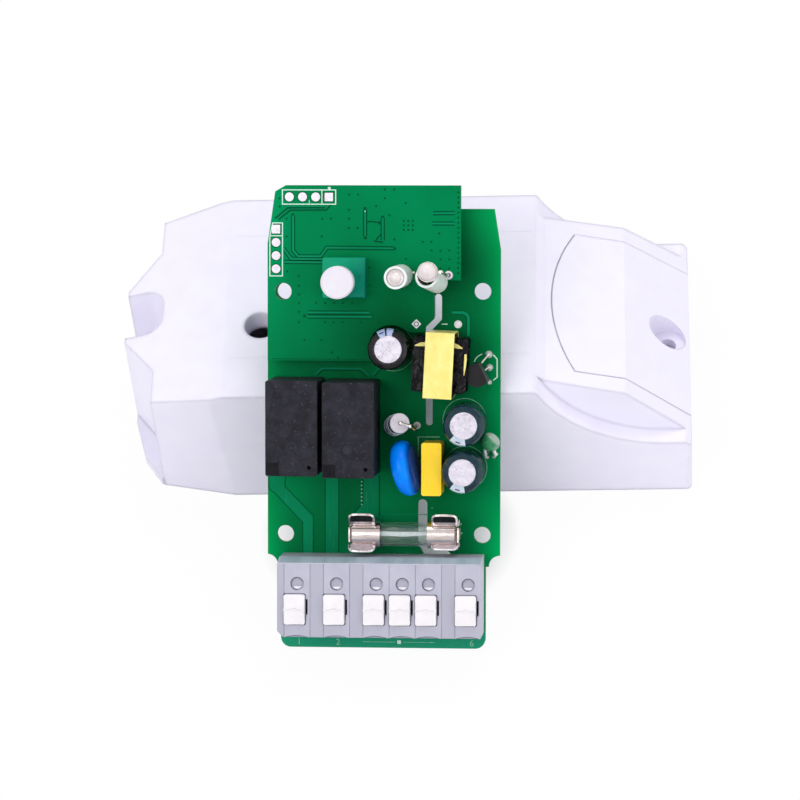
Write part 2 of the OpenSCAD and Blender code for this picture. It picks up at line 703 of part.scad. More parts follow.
// Electrolytic capacitor: the can with its scored top, and the shrunk sleeve round it
sleeve_t = 0.15;
top_lip = 1.35;
module can(d, h) difference() {
    r = d / 2 - sleeve_t - 0.05;
    rotate_extrude() polygon([[0, 0.15], [r - 0.3, 0.15], [r, 0.5], [r, 1.6], [r - 0.35, 2], [r, 2.4],
        [r, h - 0.9], [r - 0.25, h - 0.35], [r - 0.9, h - 0.15], [0, h - 0.15]]);
    for (a = [45, 135]) rotate(a) translate([0, 0, h - 0.15]) cube([d - 3, 0.25, 0.3], center = true);
}
module sleeve(d, h) difference() {
    r = d / 2;
    rotate_extrude() difference() {
        polygon([[0, 0], [r - 0.3, 0], [r, 0.4], [r, 1.6], [r - 0.3, 2], [r, 2.4], [r, h - 0.8],
            [r - 0.3, h - 0.25], [r - 0.9, h], [0, h]]);
        polygon([[0, 0.1], [r - sleeve_t - 0.3, 0.1], [r - sleeve_t, 0.5], [r - sleeve_t, 1.6],
            [r - sleeve_t - 0.35, 2], [r - sleeve_t, 2.4], [r - sleeve_t, h - 0.9],
            [r - sleeve_t - 0.25, h - 0.35], [r - sleeve_t - 0.9, h - 0.12], [0, h - 0.12]]);
        translate([-1, h - 1]) square([r - top_lip + 1, 2]);
        translate([-1, -1]) square([r - 2.4 + 1, 2]);
    }
}
dark_sleeve = [0.05, 0.2, 0.22];
module output_capacitor_can() color([0.8, 0.8, 0.82]) on_board() at(output_can_at) can(can_d, can_h);
module output_capacitor_sleeve() color([0.07, 0.07, 0.08]) on_board() at(output_can_at)
    sleeve(can_d, can_h);
module input_capacitor_1_can() color([0.8, 0.8, 0.82]) on_board() at(input_can_1_at) can(can_d, can_h);
module input_capacitor_1_sleeve() color(dark_sleeve) on_board() at(input_can_1_at) sleeve(can_d, can_h);
module input_capacitor_2_can() color([0.8, 0.8, 0.82]) on_board() at(input_can_2_at) can(can_d, can_h);
module input_capacitor_2_sleeve() color(dark_sleeve) on_board() at(input_can_2_at) sleeve(can_d, can_h);

// Transformer: two core halves, bobbin, winding and the tape band over the core
core_leg = 2.2;
core_z = 0.45;
bar_h = 2.3;
tube_r = 2;
flange_t = 0.9;
flange_w = 10.6;
tape_t = 0.2;
winding_w = 9.6;
module on_core() on_board() at(core_at) rotate(core_turn) children();
module transformer_core() color([0.12, 0.12, 0.13]) on_core() {
    for (z = [core_z, core_z + core_h - bar_h]) translate([-core_w / 2, -core_l / 2, z])
        cube([core_w, core_l, bar_h]);
    for (s = [-1, 1]) translate([0, s * (core_l - core_leg) / 2, core_z + core_h / 2])
        cube([core_w, core_leg, core_h], center = true);
    translate([0, 0, core_z + 1]) cylinder(h = core_h - 2, r = tube_r - 0.5);
}
module transformer_bobbin() color([0.06, 0.06, 0.07]) on_core() {
    leg_gap = core_w + 0.3;
    z0 = core_z + bar_h + 0.1;
    z1 = core_z + core_h - bar_h - 0.1 - flange_t;
    difference() {
        union() {
            for (z = [z0, z1]) translate([0, 0, z]) block_round(flange_w, flange_w, flange_t, 0.5);
            translate([0, 0, z0]) cylinder(h = z1 - z0, r = tube_r);
            for (s = [-1, 1]) translate([s * (flange_w / 2 - 1.15), 0, 0])
                translate([-1.15, -flange_w / 2, 0]) cube([2.3, flange_w, z0 + 0.2]);
        }
        translate([0, 0, -1]) cylinder(h = 30, r = tube_r - 0.4);
        for (s = [-1, 1]) at([0, s * (core_l - core_leg) / 2])
            cube([leg_gap, core_leg + 0.3, 60], center = true);
        translate([-leg_gap / 2, -core_l, -1]) cube([leg_gap, 2 * core_l, core_z + bar_h + 1]);
    }
}
module transformer_winding() color([0.1, 0.08, 0.08]) on_core() {
    z0 = core_z + bar_h + 0.1 + flange_t + 0.05;
    z1 = core_z + core_h - bar_h - 0.1 - flange_t - 0.05;
    room = core_l / 2 - core_leg - 0.2;
    translate([0, 0, z0]) difference() {
        linear_extrude(z1 - z0) intersection() {
            circle(winding_w / 2);
            square([winding_w, 2 * room], center = true);
        }
        translate([0, 0, -1]) cylinder(h = 20, r = tube_r + 0.05);
    }
}
module transformer_tape() color([0.97, 0.93, 0.55]) on_core() difference() {
    w = core_w + 0.2;
    translate([-w / 2, -core_l / 2 - tape_t, core_z - tape_t])
        cube([w, core_l + 2 * tape_t, core_h + 2 * tape_t]);
    translate([-w, -core_l / 2 - 0.02, core_z - 0.02]) cube([2 * w, core_l + 0.04, core_h + 0.04]);
}

// Standing power diode, leaning to the upper right
module on_diode() on_board() at(diode_at, diode_z) rotate([0, diode_lean, diode_turn]) children();
module rectifier_diode() color([0.12, 0.11, 0.12]) on_diode() rotate_extrude()
    polygon([[0, 0], [diode_r - 0.15, 0], [diode_r, 0.15], [diode_r, diode_l - 0.15],
        [diode_r - 0.15, diode_l], [0, diode_l]]);

// Dipped varistor disc on edge
module varistor() color([0.02, 0.36, 0.9]) on_board()
    at(varistor_at, 1.3 + varistor_d / 2) rotate([0, varistor_lean, varistor_turn]) rotate([0, 90, 0])
        rotate_extrude() {
            r = varistor_d / 2;
            t = varistor_t / 2;
            for (s = [0, 1]) mirror([0, s]) intersection() {
                union() {
                    translate([0, -t]) square([r - t, 2 * t]);
                    translate([r - t, 0]) circle(t);
                }
                square([r, t + 1]);
            }
        }

module film_capacitor() color([0.98, 0.82, 0.15]) on_board() at(film_at) {
    block_round(film_w - 0.5, film_l - 0.5, 0.5, 0.3);
    translate([0, 0, 0.4]) block_round(film_w, film_l, film_h - 0.4, 0.45);
}

// Green dipped choke, standing a little askew
drop_r = 1.75;
drop_z = 2.6;
module inrush_choke() color([0.16, 0.5, 0.32]) on_board() at(drop_at, drop_z) rotate([-14, -10, 0]) {
    sphere(drop_r);
    cylinder(h = 1.5, r = drop_r);
    translate([0, 0, 1.5]) sphere(drop_r);
}

// Small transistor with one flat side
transistor_z = 3.95;
module transistor() color([0.07, 0.07, 0.08]) on_board() at(transistor_at, transistor_z)
    rotate([0, 0, transistor_turn]) rotate([0, -3, 0]) linear_extrude(4.6) intersection() {
        circle(2.3);
        translate([-3.1, -3]) square([4.4, 6]);
    }

// Leads that can be seen, each from its part to its pad
transistor_pads = [[20.55, 58.6], [20.7, 56.3], [20.6, 53.2]];
diode_top = [diode_at[0] + (diode_l + 0.15) * sin(diode_lean) * cos(diode_turn),
    diode_at[1] + (diode_l + 0.15) * sin(diode_lean) * sin(diode_turn),
    diode_z + (diode_l + 0.15) * cos(diode_lean)];
diode_pad = [6.55, 44.75];
module component_leads() color([0.8, 0.79, 0.8]) on_board() {
    wire([diode_top, diode_top + [0.15, 0.05, 0.7],
        [diode_pad[0] - 0.6, diode_pad[1] + 0.5, diode_top[2] + 0.3],
        [diode_pad[0], diode_pad[1], diode_top[2] - 1], [diode_pad[0], diode_pad[1], 0]], 0.38);
    rod([diode_at[0] - 0.1, diode_at[1], 0], [diode_at[0] - 0.05, diode_at[1], diode_z - 0.12], 0.38);
    // Legs of the leaning lamp, bent down outside its tube
    wire([[12.14, 75.3, 16.7], [12.42, 75.1, 13.6], [lamp_pad[0], lamp_pad[1], 10],
        [lamp_pad[0], lamp_pad[1], deck - control_t]], 0.25);
    wire([[7.05, 75.2, 16.2], [6.65, 75.2, 14.5], [6.6, 75.2, deck + 0.02]], 0.2);
    for (i = [0:2]) wire([[transistor_pads[i][0], transistor_pads[i][1], 0],
        [transistor_pads[i][0] - 0.1, transistor_pads[i][1], 1.0],
        [transistor_at[0] + 0.15 - 1.1 * sin(transistor_turn) * (1 - i), transistor_at[1] + (1 - i) * 1.27,
            transistor_z - 0.35]], 0.22);
    for (s = [-1, 1]) rod([varistor_at[0] + 0.55 - s * 0.6, varistor_at[1] + s * 2.5, 0],
        [varistor_at[0] + 0.45 - s * 0.6, varistor_at[1] + s * 2.5, 1.75], 0.3);
    for (s = [-1, 1]) wire([[drop_at[0] - 0.1 + s * 1.2, drop_at[1] - 2.3, 0],
        [drop_at[0] - 0.1 + s * 1.1, drop_at[1] - 2.3, 1.2],
        [drop_at[0] + s * 0.55, drop_at[1] - 1.95, 2.2]], 0.3);
}

// Fuse: glass tube, end caps, wire and the two spring clips
cap_l = 5.4;
glass_r = fuse_d / 2 - 0.3;
module on_fuse() on_board() translate([fuse_at[0], fuse_at[1], fuse_z]) rotate([0, 90, 0]) children();
module fuse_glass() color([0.8, 0.9, 0.88, 0.35]) on_fuse() difference() {
    cylinder(h = fuse_l - 1.2, r = glass_r, center = true);
    cylinder(h = fuse_l, r = glass_r - 0.5, center = true);
}
module fuse_caps() color([0.82, 0.8, 0.79]) on_fuse() for (s = [-1, 1]) difference() {
    translate([0, 0, s * (fuse_l - cap_l) / 2]) cylinder(h = cap_l, r = fuse_d / 2, center = true);
    translate([0, 0, s * (fuse_l / 2 - 0.4 - cap_l / 2)])
        cylinder(h = cap_l, r = glass_r + 0.03, center = true);
}
module fuse_wire() color([0.75, 0.72, 0.7]) on_fuse()
    cylinder(h = fuse_l - 0.8 - 2 * eps, r = 0.12, center = true, $fn = 24);
clip_r = fuse_d / 2 + 0.05;
clip_open = 46;
lip_l = 2.6;
ear_w = 2.8;
ear_up = 1.6;
module clip_profile() {
    r = clip_r;
    // Spring walls hug the cap's sides, lips flare above it
    for (s = [-1, 1]) mirror([s < 0 ? 1 : 0, 0]) {
        intersection() {
            difference() {
                circle(r + clip_t);
                circle(r);
            }
            polygon([[0, -eps], [2 * r, -eps], [2 * r, 2 * r * tan(clip_open)], [0, 0]]);
        }
        translate([r, -fuse_z]) square([clip_t, fuse_z]);
        rotate(clip_open) translate([r, 0]) rotate(-clip_open) rotate(-38) square([clip_t, lip_l]);
    }
    translate([-r - clip_t, -fuse_z]) square([2 * (r + clip_t), clip_t]);
}
module fuse_clips() color([0.86, 0.85, 0.84]) on_board() for (s = [-1, 1])
    translate([fuse_at[0] + s * clip_off, fuse_at[1], fuse_z]) {
        translate([-clip_l / 2, 0, 0]) rotate([90, 0, 90]) linear_extrude(clip_l) clip_profile();
        // Stop ear behind the fuse's end, on a foot from the clip
        ear_x = fuse_l / 2 - clip_off + 0.6;
        translate([s * ear_x - clip_t / 2, -ear_w / 2, -fuse_z]) cube([clip_t, ear_w, fuse_z + ear_up]);
        translate([s * (ear_x + clip_l / 2) / 2 - 0.4, -ear_w / 2, -fuse_z]) cube([0.9, ear_w, clip_t]);
    }

// Terminal block with six ways
bevel_z = block_h - 4;
probe_deep = 0.9;
cell_roof = 3.4;
seam_w = 0.14;
hollow_r = 6.8;
hollow_deep = 0.4;
slot_beside = 0.4;
module seam(x) translate([x - seam_w / 2, block_y0 - 1, block_h - seam_w]) cube([seam_w, block_y + 2, 1]);
module terminal_block() color([0.56, 0.56, 0.6]) on_board() difference() {
    translate([block_x1 - block_x, 0, 0]) rotate([90, 0, 90]) linear_extrude(block_x)
        polygon([[block_y0, 0], [block_y1, 0], [block_y1, bevel_z], [block_y1 - 0.9, block_h],
            [block_y0, block_h]]);
    // Chamfer at the lower left corner
    translate([block_x1 - block_x, block_y0, -1]) rotate(45) cube([1.6, 1.6, 40], center = true);
    for (i = ways) translate([way_x(i), 0, 0]) {
        // Button pocket, and the slot beside the button
        at([key_off, key_y], block_h - key_h - 0.3) linear_extrude(20)
            round_rect(key_w + 2 * key_gap, key_l + 2 * key_gap, 0.4);
        at([key_off + key_w / 2 + key_gap - 0.05, key_y - 1.05], block_h - 3) cube([slot_beside, 3, 4]);
        // Test hole with the contact's tongue at its lower side
        at([0, probe_y], block_h - probe_deep) cylinder(h = 5, d = probe_d, $fn = 32);
        at([-0.1, prong_y], bar_top)
            cube([prong_w + 0.4, prong_t + 0.3, 2 * (block_h - probe_deep - bar_top)], center = true);
        // Wire entry with its funnel
        translate([key_off, block_y0, wire_z]) rotate([-90, 0, 0]) {
            translate([0, 0, -1]) cylinder(h = wire_depth + 1, d = wire_d);
            translate([0, 0, -eps]) cylinder(h = 0.6, r1 = wire_d / 2 + 0.45, r2 = wire_d / 2);
        }
        // Cell of the contact bar and clamp spring, open below
        at([-0.1 - cell_w / 2, cell_y - cell_l / 2], -1) cube([cell_w, cell_l, block_h + 1 - cell_roof]);
        // Shallow thumb hollow over the wire entry
        at([key_off * 0.3, block_y0 + hollow_deep - hollow_r], block_h - 5)
            cylinder(h = 6, r = hollow_r, $fn = 96);
    }
    // Moulded seams between the ways
    for (i = ways) {
        seam(way_x(i) - pitch_close / 2);
        if (i < len(way_gaps) && way_gaps[i] > pitch_close) seam(way_x(i) + pitch_close / 2);
    }
}
module terminal_button(i) color([0.96, 0.96, 0.95]) on_board()
    at([way_x(i) + key_off, key_y], key_travel + 0.4 + block_h - key_h) intersection() {
        h = key_h + key_up - key_travel - 0.4;
        block_round(key_w, key_l, h, 0.45);
        // Far half level, near half falling away from the ridge
        translate([-key_w, 0, 0]) rotate([90, 0, 90]) linear_extrude(2 * key_w)
            polygon([[-key_l, 0], [key_l, 0], [key_l, h - 0.25], [0.15, h - 0.1], [0.1, h], [-0.1, h],
                [-0.2, h - 0.12], [-key_l / 2, h - 0.5], [-key_l, h - 0.8]]);
    }
module terminal_button_1() terminal_button(0);
module terminal_button_2() terminal_button(1);
module terminal_button_3() terminal_button(2);
module terminal_button_4() terminal_button(3);
module terminal_button_5() terminal_button(4);
module terminal_button_6() terminal_button(5);

// Contact bar: up the cell's far wall, across under its roof, and a tongue into the test hole
module contact_bars() color([0.78, 0.77, 0.72]) on_board() for (i = ways) at([way_x(i) - 0.1, cell_y]) {
    far = cell_l / 2 - 0.1;
    near = prong_y - cell_y - prong_t / 2;
    translate([-bar_w / 2, far - bar_t, 0]) cube([bar_w, bar_t, bar_top]);
    translate([-bar_w / 2, near, bar_top - bar_t]) cube([bar_w, far - near, bar_t]);
    translate([-prong_w / 2, near, bar_top - bar_t]) cube([prong_w, prong_t, prong_top - bar_top + bar_t]);
}
module clamp_springs() color([0.7, 0.7, 0.72]) on_board() for (i = ways)
    at([way_x(i) - 0.1, cell_y]) translate([-spring_w / 2, 0.2 - cell_l / 2, 0]) {
        cube([spring_w, spring_t, spring_h]);
        cube([spring_w, spring_l, spring_t]);
        translate([0, spring_l - spring_t, 0]) cube([spring_w, spring_t, spring_h - spring_t]);
    }

// Underside of the board
module bridge_rectifier() on_board() at([18, 30], -board_t - 1.4) chip(6.4, 4.2, 1.4);
module power_controller() on_board() at([15.2, 68], -board_t - 1.5) chip(5, 4, 1.5);
chip_spots = [[6, 38], [6, 34], [18.5, 38], [18.5, 62], [4, 66], [0, 66], [-6, 66], [-6, 62], [-12, 30],
    [-4, 30], [14, 36], [10, 42]];
module chip_parts() color([0.15, 0.14, 0.13]) on_board() for (p = chip_spots)
    at(p, -board_t - 0.6) translate([-1, -0.6, 0]) cube([2, 1.2, 0.6]);
// Relay, transformer, capacitor, clip and terminal joints under the board
relay_pins = [[-3.75, -6], [3.75, -6], [-3.75, -8.2], [3.75, 1.4], [-3.75, 1.4]];
joint_spots = concat(
    [for (r = [relay_1_at, relay_2_at]) for (p = relay_pins) r + p],
    [for (x = [-4.2, 4.2]) for (y = [-3.8, 0, 4.4]) core_at + [x, y]],
    [for (c = [output_can_at, input_can_1_at, input_can_2_at]) for (y = [-1.75, 1.75]) c + [0, y]],
    [for (s = [-1, 1]) for (y = [-1.2, 1.2]) fuse_at + [s * clip_off, y]],
    [for (s = [-1, 1]) film_at + [0, s * 3.75]],
    [for (i = ways) for (y = [-0.4, 2.2]) [way_x(i) - 0.1, probe_y - 1.5 + y]]);
module solder_joints() color([0.78, 0.78, 0.8]) on_board() for (p = joint_spots)
    if (p[1] < 48.6 || p[1] > 52.8) at(p, -board_t - 0.8) {
        cylinder(h = 0.8, r1 = 0.45, r2 = 0.95, $fn = 20);
        translate([0, 0, 0.8 - pin_out]) cylinder(h = 0.5, r = 0.35, $fn = 20);
    }

top_shell();
base_plate();
terminal_cover();
base_screws();
main_board();
control_board();
board_headers();
header_pins();
switch_guide();
tact_switch();
button_cap();
lamp_tube_left();
lamp_tube_right();
lamp_left();
lamp_right();
wifi_chip();
flash_chip();
crystal();
relay_1();
relay_2();
output_capacitor_can();
output_capacitor_sleeve();
input_capacitor_1_can();
input_capacitor_1_sleeve();
input_capacitor_2_can();
input_capacitor_2_sleeve();
transformer_core();
transformer_bobbin();
transformer_winding();
transformer_tape();
rectifier_diode();
varistor();
film_capacitor();
inrush_choke();
transistor();
component_leads();
fuse_glass();
fuse_caps();
fuse_wire();
fuse_clips();
terminal_block();
terminal_button_1();
terminal_button_2();
terminal_button_3();
terminal_button_4();
terminal_button_5();
terminal_button_6();
clamp_springs();
contact_bars();
bridge_rectifier();
power_controller();
chip_parts();
solder_joints();
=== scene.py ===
"""Looks of the twin-channel relay module: finishes, soft edges and board print over the fixed CAD frame."""
import json
import math

import bmesh
import bpy
from mathutils import Matrix, Vector
from mathutils.bvhtree import BVHTree


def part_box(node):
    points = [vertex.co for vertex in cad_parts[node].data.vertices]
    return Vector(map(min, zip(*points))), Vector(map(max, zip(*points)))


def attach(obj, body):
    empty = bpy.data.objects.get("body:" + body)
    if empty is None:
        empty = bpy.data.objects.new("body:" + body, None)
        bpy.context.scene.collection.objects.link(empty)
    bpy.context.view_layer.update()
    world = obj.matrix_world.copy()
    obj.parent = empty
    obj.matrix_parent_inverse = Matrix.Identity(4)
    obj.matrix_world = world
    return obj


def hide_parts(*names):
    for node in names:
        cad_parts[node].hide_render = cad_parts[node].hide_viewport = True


MM = 0.001
ROOT = "case_and_board"

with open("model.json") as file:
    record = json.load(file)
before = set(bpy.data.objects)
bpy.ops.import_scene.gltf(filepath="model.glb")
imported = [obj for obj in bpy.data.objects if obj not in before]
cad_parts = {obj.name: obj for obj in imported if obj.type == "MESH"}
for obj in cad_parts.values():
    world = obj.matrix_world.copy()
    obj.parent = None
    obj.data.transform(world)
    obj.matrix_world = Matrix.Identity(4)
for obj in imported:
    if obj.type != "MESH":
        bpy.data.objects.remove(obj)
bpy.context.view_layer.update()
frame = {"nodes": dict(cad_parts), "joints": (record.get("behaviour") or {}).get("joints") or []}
nodes = frame["nodes"]

# Board millimetres count from a line this far below the board's lower end
END_Y = 0.8


# Frames: the board's own axes and the case's centre line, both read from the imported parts
def board_matrix():
    push = Vector(next(j["axis"] for j in frame["joints"] if j["name"] == "push_button_press"))
    up = -push.normalized()
    across = Vector((-up.y, up.x, 0)).normalized()
    along = up.cross(across)
    points = [v.co for v in nodes["main_board"].data.vertices]
    low = min(p.dot(along) for p in points) - END_Y * MM
    top = max(p.dot(up) for p in points)
    sides = [p.dot(across) for p in points]
    origin = across * (min(sides) + max(sides)) / 2 + along * low + up * top
    turned = Matrix((across, along, up)).transposed().to_4x4()
    return Matrix.Translation(origin) @ turned


BOARD = board_matrix()
shell_lo, shell_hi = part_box("top_shell")
cover_lo, cover_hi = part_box("terminal_cover")
CASE_Y = (shell_lo.y + shell_hi.y) / 2

# The roof's fine lines: their reach from the case's tip, distance from its centre line, half width, depth
ROOF_FROM, ROOF_TO, PANEL_HALF, LINE_HALF, LINE_DEEP = 22.2, 82.1, 15.7, 0.15, 0.03

# Levels on the boards, millimetres above the main board's face, and how far one print lies over another
CONTROL_TOP = 4.2
COPPER_UP, INK, PAD_UP = 0.012, 0.02, 0.03
OVER = 0.004

# Places of parts on the board, as in the model, millimetres and degrees
RELAYS = ((-16.65, 45.0), (-5.7, 44.7))
RELAY_TOP = 15.3
CANS = ((1.75, 60.2), (16.4, 45.5), (16.15, 36.4))
CAN_R, CAN_TOP = 4.0, 12.0
CORE_AT, CORE_TURN, CORE_TOP = (11.6, 57.1), -2.9, 10.0
FUSE_AT = (4.4, 23.7, 4.6)
# The diode's foot, its lean and turn, and how far up it turns silvery
DIODE_AT, DIODE_LEAN, DIODE_TURN, DIODE_SILVER = (1.9, 44.7, 1.3), 15, 29, 8.7
# The terminal block's ways, half a way's width, its top and the row of its test holes
WAYS = (-15.85, -8.15, -0.45, 4.63, 9.71, 17.41)
WAY_HALF, TERMINAL_TOP, TEST_Y = 2.54, 12.0, 14.65
# A button's place beside its way's middle, its row, half sizes and height over the block
KEY_OFF, KEY_Y, KEY_HALF_X, KEY_HALF_Y, KEY_UP = -0.5, 9.65, 2.05, 2.95, 1.2

# Short words for the surface's sockets that many finishes set
SOCKETS = {"specular": "Specular IOR Level", "coat": "Coat Weight", "coat_rough": "Coat Roughness"}


# Materials
def srgb(r, g, b):
    """A colour given as it shows on a screen, 0 to 255, as linear values."""
    def line(c):
        c /= 255
        return c / 12.92 if c <= 0.04045 else ((c + 0.055) / 1.055) ** 2.4
    return (line(r), line(g), line(b), 1.0)


class Graph:
    """A node tree built up a few nodes at a time."""

    def __init__(self, tree):
        self.tree = tree

    def feed(self, node, inputs):
        """Sets a node's inputs, each to a value or to the socket that feeds it."""
        for key, value in inputs.items():
            if isinstance(value, bpy.types.NodeSocket):
                self.tree.links.new(value, node.inputs[key])
            else:
                node.inputs[key].default_value = value
        return node

    def new(self, kind, inputs=None, **values):
        node = self.tree.nodes.new(kind)
        for key, value in values.items():
            setattr(node, key, value)
        return self.feed(node, inputs or {})

    def calc(self, operation, a, b=0.0):
        return self.new("ShaderNodeMath", {0: a, 1: b}, operation=operation).outputs[0]

    def vector(self, operation, *inputs):
        return self.new("ShaderNodeVectorMath", dict(enumerate(inputs)), operation=operation).outputs

    def ramp(self, value, low, high, to_low=0.0, to_high=1.0, smooth=False):
        inputs = {"Value": value, "From Min": low, "From Max": high, "To Min": to_low, "To Max": to_high}
        kind = "SMOOTHSTEP" if smooth else "LINEAR"
        return self.new("ShaderNodeMapRange", inputs, interpolation_type=kind).outputs["Result"]

    def seen_ray(self):
        """One for rays from the camera and for those that metal and glass send on."""
        path = self.new("ShaderNodeLightPath").outputs
        total = path["Is Camera Ray"]
        for ray in ("Is Glossy Ray", "Is Transmission Ray"):
            total = self.calc("MAXIMUM", total, path[ray])
        return total

    def blend(self, share, a, b, end):
        """Two shader nodes mixed by a share, as the surface that the tree ends with."""
        mix = self.new("ShaderNodeMixShader", {"Fac": share, 1: a.outputs[0], 2: b.outputs[0]})
        self.feed(self.tree.nodes[end], {"Surface": mix.outputs[0]})


class Shade(Graph):
    """A procedural material on the principled surface."""

    def __init__(self, name):
        self.material = bpy.data.materials.new(name)
        self.material.use_nodes = True
        super().__init__(self.material.node_tree)
        self.bsdf = self.tree.nodes["Principled BSDF"]
        self.coords = self.new("ShaderNodeTexCoord").outputs["Object"]
        self.normal = None

    def done(self, **sockets):
        """The material, with plain values for the surface's other sockets."""
        for key, value in sockets.items():
            self.feed(self.bsdf, {SOCKETS.get(key, key.replace("_", " ")): value})
        return self.material

    def noise(self, scale, detail=3.0, stretch=None, distortion=0.0):
        source = self.coords
        if stretch:
            source = self.new("ShaderNodeMapping", {"Vector": source, "Scale": stretch}).outputs["Vector"]
        inputs = {"Vector": source, "Scale": scale, "Detail": detail, "Distortion": distortion}
        return self.new("ShaderNodeTexNoise", inputs).outputs["Fac"]

    def measure(self, axis, origin=(0, 0, 0)):
        """Millimetres along an axis from a point, for a mesh that lies in the shared frame."""
        off = self.vector("SUBTRACT", self.coords, origin)["Vector"]
        return self.vector("DOT_PRODUCT", off, axis / MM)["Value"]

    def board_xy(self):
        return [self.measure(BOARD.col[i].to_3d(), BOARD.translation) for i in (0, 1)]

    def facing(self, column, normal):
        """How much a surface faces along one of the board's axes."""
        way = self.new("ShaderNodeNewGeometry").outputs[normal]
        return self.vector("DOT_PRODUCT", way, BOARD.col[column].to_3d())["Value"]

    def near(self, x, y, at, reach):
        """One at a point on the board, falling to nothing at a distance from it."""
        dx, dy = self.calc("SUBTRACT", x, at[0]), self.calc("SUBTRACT", y, at[1])
        square = self.calc("ADD", self.calc("MULTIPLY", dx, dx), self.calc("MULTIPLY", dy, dy))
        return self.ramp(self.calc("SQRT", square), 0, reach, 1, 0, smooth=True)

    def pool(self, tone, x, y, at, reach, share, colour):
        """A round pool of colour over a tone."""
        return self.mix(self.calc("MULTIPLY", self.near(x, y, at, reach), share), tone, colour)

    def mix(self, factor, a, b):
        """Between two colours, each a socket or three screen values from 0 to 255."""
        a, b = (srgb(*colour) if isinstance(colour, tuple) else colour for colour in (a, b))
        inputs = {"Factor": factor, "A": a, "B": b}
        return self.new("ShaderNodeMix", inputs, data_type="RGBA").outputs["Result"]

    def tones(self, value, base, shade, low=0.35, high=0.65):
        """Two colours that drift into each other with a noise's value."""
        return self.mix(self.ramp(value, low, high), base, shade)

    def round_edges(self, radius):
        """Softens the shading across edges within a radius, a socket in millimetres."""
        inputs = {"Radius": self.calc("MULTIPLY", radius, MM)}
        self.normal = self.new("ShaderNodeBevel", inputs, samples=6).outputs["Normal"]

    def colour(self, output):
        self.feed(self.bsdf, {"Base Color": output})

    def rough(self, value, low, high):
        self.feed(self.bsdf, {"Roughness": self.ramp(value, 0.35, 0.65, low, high)})

    def bump(self, height, strength, distance=0.0001):
        """A bump that adds to the normals so far."""
        inputs = {"Strength": strength, "Distance": distance, "Height": height}
        if self.normal:
            inputs["Normal"] = self.normal
        self.normal = self.new("ShaderNodeBump", inputs).outputs["Normal"]
        self.feed(self.bsdf, {"Normal": self.normal})


def finish(name, cloud, base, shade, rough, bumps, spread=(0.35, 0.65), painter=None, **sockets):
    """Two tones drifting by one noise, gloss varying by another, and bumps. A noise is given by its scale,
    detail, stretch and distortion, rough as (noise, low, high), a bump as (noise, strength, distance)."""
    s = Shade(name)
    tone = s.tones(s.noise(*cloud), base, shade, *spread)
    s.colour(painter(s, tone) if painter else tone)
    s.rough(s.noise(*rough[0]), *rough[1:])
    for noise, *size in bumps:
        s.bump(s.noise(*noise), *size)
    return s.done(**sockets)


def moulded(name, base, shade, rough, scale=220, grain=5200, bump=0.05, **sockets):
    """Injection-moulded plastic: faint cloudy tone, fine spark-eroded grain."""
    return finish(name, (scale, 4.0), base, shade, ((scale * 3, 3.0), rough - 0.05, rough + 0.06),
                  [((grain, 2.0), bump)], (0.3, 0.7), **sockets)


def metal(name, base, shade, rough, scale=900, bump=0.12, stretch=None):
    """Plated or bare metal with handling marks."""
    s = Shade(name)
    stain = s.noise(scale, 6.0, stretch, 0.4)
    s.colour(s.tones(stain, base, shade, 0.35, 0.7))
    s.rough(s.noise(scale * 2.3, 4.0, stretch), rough - 0.06, rough + 0.1)
    s.bump(stain, bump)
    return s.done(Metallic=1.0)


def lacquer(name, base, shade, light, paint=None):
    """Green lacquer over the laminate: faint weave, tone drifting across the board."""
    s = Shade(name)
    tone = s.tones(s.noise(60, 2.0), base, shade)
    if paint:
        tone = paint(s, tone)
    fibre = s.noise(2600, 2.0, (1.0, 0.08, 1.0))
    s.colour(s.mix(s.ramp(fibre, 0.6, 0.9, 0.0, 0.3), tone, light))
    s.rough(s.noise(800, 3.0), 0.24, 0.38)
    s.bump(fibre, 0.06)
    return s.done(specular=0.015)


def main_tone(s, tone):
    """Painted light glows through the laminate near its edges, and its middle stays deep under pools of
    painted shadow.
    """
    x, y = s.board_xy()
    # Painted light: a glow along the side edges, stronger towards the board's ends
    side = s.calc("POWER", s.ramp(s.calc("ABSOLUTE", x), 14.0, 22.9), 2.6)
    ends = s.calc("MAXIMUM", s.ramp(y, 60.0, 76.0), s.ramp(y, 32.0, 20.0))
    glow = s.calc("MULTIPLY", side, s.calc("ADD", s.calc("MULTIPLY", ends, 0.45), 0.35))
    tone = s.mix(glow, tone, (0, 172, 94))
    tone = s.mix(s.ramp(y, 4.6, 3.6), tone, (36, 146, 110))
    # Painted shadow's colour; the first pool below is pale painted light by the right edge, the rest
    # painted shadow
    deep = (0, 76, 42)
    for at, reach, share, colour in (
        ((21.0, 80.0), 16.0, 0.25, (0, 160, 78)), ((15.5, 76.0), 13.0, 0.75, deep),
        ((14.5, 62.0), 12.0, 0.55, deep), ((-8.0, 30.5), 10.0, 0.5, deep),
    ):
        tone = s.pool(tone, x, y, at, reach, share, colour)
    return tone


def control_tone(s, tone):
    """Painted light paler towards the board's left edge, painted shade deeper towards its lower end, with a
    pool of painted shadow.
    """
    x, y = s.board_xy()
    tone = s.mix(s.ramp(x, -17.0, -22.4, 0.0, 0.55, smooth=True), tone, (0, 158, 96))
    tone = s.mix(s.ramp(y, 80.0, 60.0, 0.0, 0.55, smooth=True), tone, (0, 108, 60))
    # Pool of painted shadow near the board's lower middle
    return s.pool(tone, x, y, (3.0, 62.0), 19.0, 0.85, (0, 84, 42))


